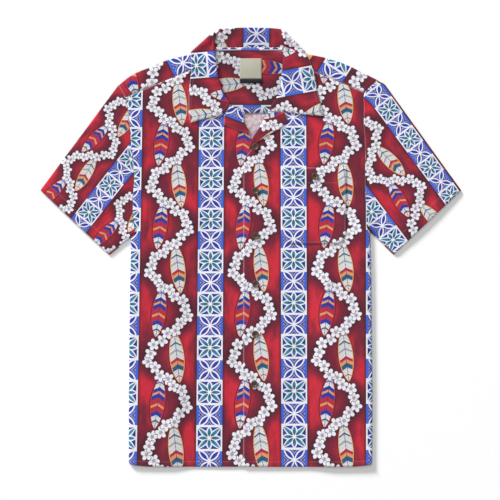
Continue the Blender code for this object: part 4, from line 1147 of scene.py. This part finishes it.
leafNose, leafTop, leafTurn = 2.2, 3.9, 3.0  # reach of the roll, how far the top's fold lies in, and its own reach
for side in (1, -1):
    p = collar[side]
    v, u = np.linspace(0, 1, 9), np.array([0, 0.12, 0.33, 0.55, 0.78, 1])
    inward = np.array([-float(side), 0.0])
    roll, edge = along(line(leafRoll[side]), v), along(line(leafEdge[side]), v)
    inset = roll - inward * 2.6
    bottom = along(line(leafBottom[side]), u)
    bottom[0] = inset[0]
    way = edge[-1] - inset[-1]
    out = unitOf(np.array([-way[1], way[0]])) * side
    out = out * np.sign(out[1])
    topLine = along(np.array([inset[-1], edge[-1]]), u) - out * leafTop
    left, right = inset.copy(), edge.copy()
    left[-1], right[-1] = topLine[0], topLine[-1]
    flat = finer(coons(bottom, topLine, left, right), 3.6)
    # it lies on what is below, level at its top and rolled up along its fold
    z = heights.rest(flat[..., 0], flat[..., 1]) + gap + 0.45 + collarWall / 2
    z[:, 0] = np.maximum(z[:, 0], 5.5 + fallLift(flat[:, 0, 0], flat[:, 0, 1]))
    z = np.maximum(z, z[2:-2].min())
    fade = smooth((np.arange(len(z)) - (len(z) - 9)) / 8)[:, None]
    z = z + (z[-1].max() - z) * fade
    rise = np.exp(-np.linspace(0, 5, z.shape[1]) ** 2)
    z = z + 1.3 * rise * np.sin(math.pi * np.linspace(0, 1, len(z)))[:, None]
    body = withNose(flat, z, inward, 1.0, leafNose)
    m, k = len(nose), body.shape[1]
    body[-1, :m, :2] = flat[-1, 0] + inward * np.linspace(leafNose, 0.3, m)[:, None]
    body[-1, :, 2] = z[-1].max()
    # over the shoulder outline: half an ellipse down to the fall, which lies on the floor, and a little way under
    last, lowZ = body[-1], 1.5 * collarWall + gap + 0.1
    angle = np.radians([68, 45, 22, 0, -22, -45, -68, -90])[:, None]
    turnOver = withZ(last[None, :, :2] + out * leafTurn * np.cos(angle)[..., None],
                     (last[:, 2] + lowZ) / 2 + (last[:, 2] - lowZ) / 2 * np.sin(angle))
    back = np.concatenate([last[None, :, :2] - out * np.array([4, 10])[:, None, None],
                           np.full((2, k, 1), lowZ)], -1)
    grid = np.concatenate([body, turnOver, back])
    behind = np.arange(len(grid))[:, None] >= len(body) + 4
    px, py, _ = openedOver(grid[..., 0], grid[..., 1], last[0, :2] + out * leafTurn, unitOf(way), behind)
    cloth(p["name"], grid, collarWall, printAt(px, py, p["middle"], p["turn"]), ["collar"],
          looks=[cotton, cotton], outside=(5, m + 5))
    p["grid"] = body
print("collar made")

# lapels: the fronts' facings turned back below the collar
lapels = {
    1: {"name": "lapelLeft", "node": "lapel_left", "middle": (-13.8, 261.9), "turn": -47.9,
        "cut": {"flat": (86, 35), "area": 1950, "held": "folded", "on": ["frontLeft"]}},
    -1: {"name": "lapelRight", "node": "lapel_right", "middle": (-39.3, 250.9), "turn": -109.7,
         "cut": {"flat": (50, 36), "area": 1400, "held": "folded", "on": ["frontRight"]}},
}
for side, p in lapels.items():
    t = lapel[side]
    roll, edge = np.stack([t["rollX"], t["rollY"]], 1), np.stack([t["edgeX"], t["edgeY"]], 1)
    inward = np.array([-float(side), 0.0])
    u = np.array([0, 0.3, 0.65, 1])[None, :, None]
    inset = roll - inward * np.minimum(2.4, np.linalg.norm(edge - roll, axis=1) * 0.4)[:, None]
    flat = finer(inset[:, None] + (edge - inset)[:, None] * u, 2.2, straight=True)
    z = heights.rest(flat[..., 0], flat[..., 1], 2) + gap + lapelWall / 2
    grid = withNose(flat, z + 0.5 * np.exp(-np.linspace(0, 4, flat.shape[1]) ** 2), inward, 0.85, 1.9)
    uv = printAt(grid[..., 0], grid[..., 1], p["middle"], p["turn"])
    cloth(p["name"], grid, lapelWall, uv, [p["node"]], looks=[cotton, cotton], outside=(3, len(nose) + 2))
    p["grid"] = grid
for side in (1, -1):
    heights.add(collar[side]["grid"], collarWall)
    heights.add(lapels[side]["grid"], lapelWall)
heights.add(standGrid[:foldRow], collarWall)
print("lapels made")

# pocket: straight between its rows, a little full in its middle, with its mouth standing a little open
pocket = {"hem": 112.2, "button": (112.4, 123.5, 1.7, 0.5),
          "cut": {"flat": (112, 134), "area": 14400, "held": "laid", "on": ["frontLeft"]}}
u = np.array([0, 0.2, 0.4, 0.55, 0.68, 0.8, 0.9, 1])[None]
t = pocketRows
x = t["left"][:, None] + (t["right"] - t["left"])[:, None] * u
flat = np.stack([x, np.broadcast_to(t["y"][:, None], x.shape)], -1)
flat = refined(refined(flat, partsOf(flat, 1, 3), 1, straight=True), partsOf(flat, 0, 3), 0, straight=True)
x, y = flat[..., 0], flat[..., 1]
z = heights.rest(x, y, 2) + gap + clothWall / 2
s, r = np.linspace(0, 1, x.shape[1])[None], np.linspace(0, 1, x.shape[0])[:, None]
z = z + 0.5 * np.sin(math.pi * s) ** 0.7 * smooth(r / 0.3) * smooth((1 - r) / 0.25)
z = z + 0.3 * smooth((y - pocket["hem"]) / 2) + 0.9 * np.exp(-r * 9) * np.sin(math.pi * s) ** 2
pocketGrid = withZ(flat, z)
cloth("chestPocket", pocketGrid, clothWall, bodyPrint(x, y, True), ["pocket"], outside=(3, 3))
heights.add(pocketGrid, clothWall)

# neck binding, label and size tab: level strips on what lies below, raised in their middles by a sine each way
strips = {
    "neckBinding": {"node": "neck_binding", "x": (-60.0, 55.0), "y": (343.9, 348.4), "wall": 1.0, "bow": 0.0,
                    "cell": 2.2, "look": cotton, "slot": "printed_cotton", "print": ((-18.3, 365.2), -90),
                    "cut": {"flat": (115, 10), "area": 690, "held": "laid", "on": ["collarBack", "yokeInner"]}},
    "neckLabel": {"node": "neck_label", "x": (-18.8, 18.8), "y": (294.1, 329.3), "wall": 0.8, "bow": 0.7,
                  "cell": 2.5, "look": labelCloth, "slot": "label_cloth", "print": None,
                  "cut": {"flat": (37.6, 35.2), "area": 1320, "held": "laid", "on": ["yokeInner"]}},
    "sizeTab": {"node": "size_tab", "x": (-18.8, 19.7), "y": (286.6, 293.7), "wall": 0.8, "bow": 0.3,
                "cell": 2.4, "look": tabCloth, "slot": "tab_cloth", "print": None,
                "cut": {"flat": (38.5, 10), "area": 385, "held": "laid", "on": ["yokeInner"]}},
}
for name, p in strips.items():
    (left, right), (low, high), size = p["x"], p["y"], p["cell"]
    x, y = np.meshgrid(np.linspace(left, right, max(2, round((right - left) / size) + 1)),
                       np.linspace(low, high, max(3, round((high - low) / size) + 1)))
    s, r = (x - left) / (right - left), (y - low) / (high - low)
    z = heights.rest(x, y, 2) + gap * 0.5 + p["wall"] / 2 + p["bow"] * np.sin(math.pi * s) * np.sin(math.pi * r)
    grid = np.stack([x, y, z], -1)
    uv = printAt(x, y, *p["print"]) if p["print"] else np.stack([x, y], -1)
    cloth(name, grid, p["wall"], uv, [p["node"]], looks=[p["look"]] * 2)
    heights.add(grid, p["wall"])
print("pocket, binding, label and tab made")

# buttons: a dished disc turned about its axis, two thread holes, and the thread through them
buttons = {"across": 12.2, "thick": 2.6, "holeApart": 2.6, "holeRadius": 0.8,
           "places": [(8, 175.2, 0.9, 0.4), (8.3, 98.2, 2.2, -0.6), (9, 19.4, 0.2, 0.5),  # X, Y, turn, tilt
                      (8.7, -64.6, 1.3, 0.2), (8, -152.1, 2.8, -0.4), (6.4, -239.6, 0.6, 0.7)]}
# half the section from the middle over the dish, the rim and the edge, then back under: shares of radius and thickness
buttonSection = np.array([
    (0.02, 0.55), (0.1, 0.55), (0.2, 0.55), (0.3, 0.56), (0.4, 0.58), (0.5, 0.62), (0.6, 0.72), (0.7, 0.88),
    (0.8, 0.98), (0.88, 1.0), (0.95, 0.93), (0.99, 0.78), (1.0, 0.6), (0.98, 0.42), (0.92, 0.26), (0.8, 0.12),
    (0.6, 0.03), (0.3, 0.0), (0.02, 0.0)])


def ringFaces(rows, cols):
    # quads between closed rings of points, and a face over the first and the last ring
    i, j = np.meshgrid(np.arange(rows - 1), np.arange(cols), indexing="ij")
    k = (j + 1) % cols
    quads = np.stack([i * cols + j, (i + 1) * cols + j, (i + 1) * cols + k, i * cols + k], -1).reshape(-1, 4)
    ends = [tuple(range(cols)), tuple(range(rows * cols - 1, (rows - 1) * cols - 1, -1))]
    return [tuple(f) for f in quads.tolist()] + ends


def tube(path, radius, sides=8):
    # a ring of sides carried along the path, square to it, closed at both ends
    way = unitOf(np.gradient(path, axis=0))
    across = unitOf(np.cross(way, [0.02, 0.03, 1.0]))
    up = np.cross(across, way)
    a = np.linspace(0, 2 * math.pi, sides, endpoint=False)
    ring = across[:, None] * np.cos(a)[None, :, None] + up[:, None] * np.sin(a)[None, :, None]
    return (path[:, None] + radius * ring).reshape(-1, 3), ringFaces(len(path), sides)


def button(name, node, x0, y0, turn, tilt):
    # the section in rings round the middle, with wells in the dish for holes, turned and a little tilted
    radius, thick = buttons["across"] / 2, buttons["thick"]
    profile = refined(buttonSection, np.where(np.arange(len(buttonSection) - 1) < 7, 3, 2))
    a = np.linspace(0, 2 * math.pi, 56, endpoint=False)
    x, y = profile[:, :1] * radius * np.cos(a), profile[:, :1] * radius * np.sin(a)
    z = profile[:, 1:] * thick + 0 * x
    upper = (np.arange(len(profile)) < 30)[:, None]
    for s in (1, -1):
        r = np.hypot(x - s * buttons["holeApart"] / 2, y) / buttons["holeRadius"]
        z = z - 1.0 * (1 - smooth((r - 0.65) / 0.5)) * upper * (z > 1.1)
    z = z + 0.03 * np.sin(x * 2.3 + y * 1.1) * upper
    c, s = math.cos(turn), math.sin(turn)
    base = float(heights.rest(np.array(x0), np.array(y0), 2)) + 0.25
    px, py = x0 + x * c - y * s, y0 + x * s + y * c
    pz = base + z + tilt * x * 0.05
    points = np.stack([px, py, pz], -1).reshape(-1, 3)
    uv = np.stack([x + patternStep * round(10 * turn), y], -1).reshape(-1, 2)
    disc = addMesh(name, points, ringFaces(*x.shape), uv, None, [coconut])
    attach(disc, "root")
    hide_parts(node)
    # two strands of thread side by side, from hole to hole
    t = np.linspace(-1, 1, 15)
    body, faces, at = [], [], 0
    for off in (-0.22, 0.22):
        rise = 0.55 * thick + 0.34 - 1.15 * np.abs(t) ** 5
        path = np.stack([t * buttons["holeApart"] / 2 * 1.02, off + 0 * t, rise], -1)
        p, f = tube(path, 0.24)
        body.append(p)
        faces += [tuple(at + k for k in q) for q in f]
        at += len(p)
    body = np.concatenate(body)
    body = np.stack([x0 + body[:, 0] * c - body[:, 1] * s, y0 + body[:, 0] * s + body[:, 1] * c, base + body[:, 2]], -1)
    loop = addMesh(name + "Thread", body, faces, body[:, :2], None, [buttonThread])
    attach(loop, "root")


for k, place in enumerate(buttons["places"], 1):
    button(f"button{k}", f"button_{k}", *place)
button("pocketButton", "pocket_button", *pocket["button"])
print("buttons made")


# stitches: short crowned bars laid end to end along each seam
stitchSize = {"long": 2.0, "step": 2.7, "wide": 0.6, "high": 0.3}


def stitches(name, *paths):
    # each path is walked in equal steps, and every stitch is one bar of 12 points turned to the path there
    at, way = [], []
    for path in paths:
        path = np.asarray(path, float)
        run = runOf(path[:, :2])
        s = np.arange(1.5, run[-1] - 1, stitchSize["step"])
        at.append(walked(path, run, s))
        way.append(unitOf((walked(path, run, s + 0.5) - at[-1])[:, :2]))
    p, way = np.concatenate(at), np.concatenate(way)
    z = p[:, 2] if p.shape[1] == 3 else heights.top(p[:, 0], p[:, 1])
    a, w, h = stitchSize["long"] / 2, stitchSize["wide"] / 2, stitchSize["high"]
    bar = np.array([(s, t, u) for s, half, top in ((-a, 0.55, 0.05), (-a * 0.6, 1, 1), (a * 0.6, 1, 1), (a, 0.55, 0.05))
                    for t, u in ((-w * half, -0.25), (0, h * top), (w * half, -0.25))])
    x = p[:, None, 0] + bar[:, 0] * way[:, :1] - bar[:, 1] * way[:, 1:]
    y = p[:, None, 1] + bar[:, 0] * way[:, 1:] + bar[:, 1] * way[:, :1]
    points = np.stack([x, y, z[:, None] + bar[:, 2]], -1).reshape(-1, 3)
    faces = []
    for k in range(3):
        m = 3 * k
        faces += [(m, m + 3, m + 4, m + 1), (m + 1, m + 4, m + 5, m + 2), (m + 2, m + 5, m + 3, m)]
    quads = (np.array(faces)[None] + 12 * np.arange(len(p))[:, None, None]).reshape(-1, 4)
    ends = (np.array([(0, 1, 2), (11, 10, 9)])[None] + 12 * np.arange(len(p))[:, None, None]).reshape(-1, 3)
    obj = addMesh(name, points, quads.tolist() + ends.tolist(), points[:, :2], None, [seamThread])
    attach(obj, "root")


def beside(points, off):
    # a line the given distance to the left of the points' line
    step = unitOf(np.gradient(np.asarray(points, float), axis=0))
    return points + off * np.stack([-step[:, 1], step[:, 0]], -1)


def dense(points, straight=False):
    # points no more than 3 mm apart along the line
    return refined(points, partsOf(points, 0, 3.0), straight=straight)


hemX = np.linspace(-206, 206, 160)
hemLine = np.stack([hemX, hemY + hemDeep + hemCurl(hemX) * 0.8], -1)
stitches("hemStitches", hemLine[hemX < frontEdge - 1.5], hemLine[hemX > frontEdge + 1.5])
stitches("frontEdgeStitches", [(frontEdge + 1.9, -374), (frontEdge + 1.9, 145)])
for side, name in ((1, "cuffStitchesLeft"), (-1, "cuffStitchesRight")):
    # the hem's depth in from the cuff, between the two rings there
    g = sleeveTop[side]
    share = 1 - cuffHem / np.linalg.norm(g[-1, :, :2] - g[0, :, :2], axis=1)
    row = np.interp(share, sleeveShares, np.arange(len(sleeveShares)))
    k, cols = np.minimum(row.astype(int), len(g) - 2), np.arange(g.shape[1])
    w = (row - k)[:, None]
    cuffLine = g[k, cols] * (1 - w) + g[k + 1, cols] * w
    cuffLine[:, 2] += clothWall / 2
    stitches(name, cuffLine[2:-2])
stitches("yokeStitches", *[beside(dense(line(yokeSeam[side])[:3]), -2.2 * side) for side in (1, -1)])
pocketEdge = np.array([(56, 133), (56, 24), (65.6, 9), (154.8, 9), (163.8, 24), (164.3, 133)], float)
stitches("pocketStitches", dense(pocketEdge, straight=True), [(56, pocket["hem"]), (164.3, pocket["hem"])])
leafLines = []
for side in (1, -1):
    edge, bottom = dense(line(leafEdge[side])[:-1]), dense(line(leafBottom[side]))
    inLine = beside(np.concatenate([bottom, edge[1:]]), 5.0 * side)
    leafLines.append(inLine[inLine[:, 1] < 322])
stitches("collarStitches", *leafLines)
stitches("bindingStitches", [(-58, 345.0), (53, 345.0)])
stitches("labelStitches", [(-17.6, 295.4), (-17.6, 328.1), (17.6, 328.1), (17.6, 295.4)])
print("stitches made")

# floor, light and camera
stageLook = {"floorHalf": 4.0, "floorZ": -0.0004, "cameraHigh": 3.2, "frameWide": 0.875, "middle": (-0.0013, -0.0051)}
s, z = stageLook["floorHalf"], stageLook["floorZ"]
floorMesh = bpy.data.meshes.new("floor")
floorMesh.from_pydata([(-s, -s, z), (s, -s, z), (s, s, z), (-s, s, z)], [], [(0, 1, 2, 3)])
floor = bpy.data.objects.new("floor", floorMesh)
bpy.context.scene.collection.objects.link(floor)
look = Look("floorPaint", IOR=1.3)
grain = look.node("ShaderNodeTexNoise", {}, Scale=3.0)
look.link(look.mix(grain * 0.15, ink("fdfdfd"), ink("f9f9f9")), look.shader.inputs["Base Color"])
look.link(grain * 0.1 + 0.75, look.shader.inputs["Roughness"])
floorMesh.materials.append(look.material)

lights = {  # kind, where from, how strong, how wide; each looks at the middle of the floor
    "soft": ("AREA", (-0.35, 0.5, 3.8), 56.0, 3.4),
    "low": ("SUN", (-0.75, 0.95, 0.5), 3.9, 0.26),
}
for name, (kind, place, power, size) in lights.items():
    data = bpy.data.lights.new(name, kind)
    data.energy = power
    setattr(data, "size" if kind == "AREA" else "angle", size)
    lamp = bpy.data.objects.new(name, data)
    lamp.location = place
    x, y, z = place
    lamp.rotation_euler = (math.atan2(math.hypot(x, y), z), 0, math.atan2(y, x) + math.pi / 2)
    bpy.context.scene.collection.objects.link(lamp)
world = bpy.data.worlds.new("room")
world.use_nodes = True
world.node_tree.nodes["Background"].inputs["Color"].default_value = (1, 1, 1, 1)
world.node_tree.nodes["Background"].inputs["Strength"].default_value = 0.26
bpy.context.scene.world = world
bpy.context.scene.view_settings.view_transform = "Standard"

cameraData = bpy.data.cameras.new("camera")
cameraData.lens = 36 * stageLook["cameraHigh"] / stageLook["frameWide"]
cameraData.sensor_width = 36
cameraData.clip_end = 20
camera = bpy.data.objects.new("camera", cameraData)
camera.location = (*stageLook["middle"], stageLook["cameraHigh"])
bpy.context.scene.collection.objects.link(camera)
bpy.context.scene.camera = camera
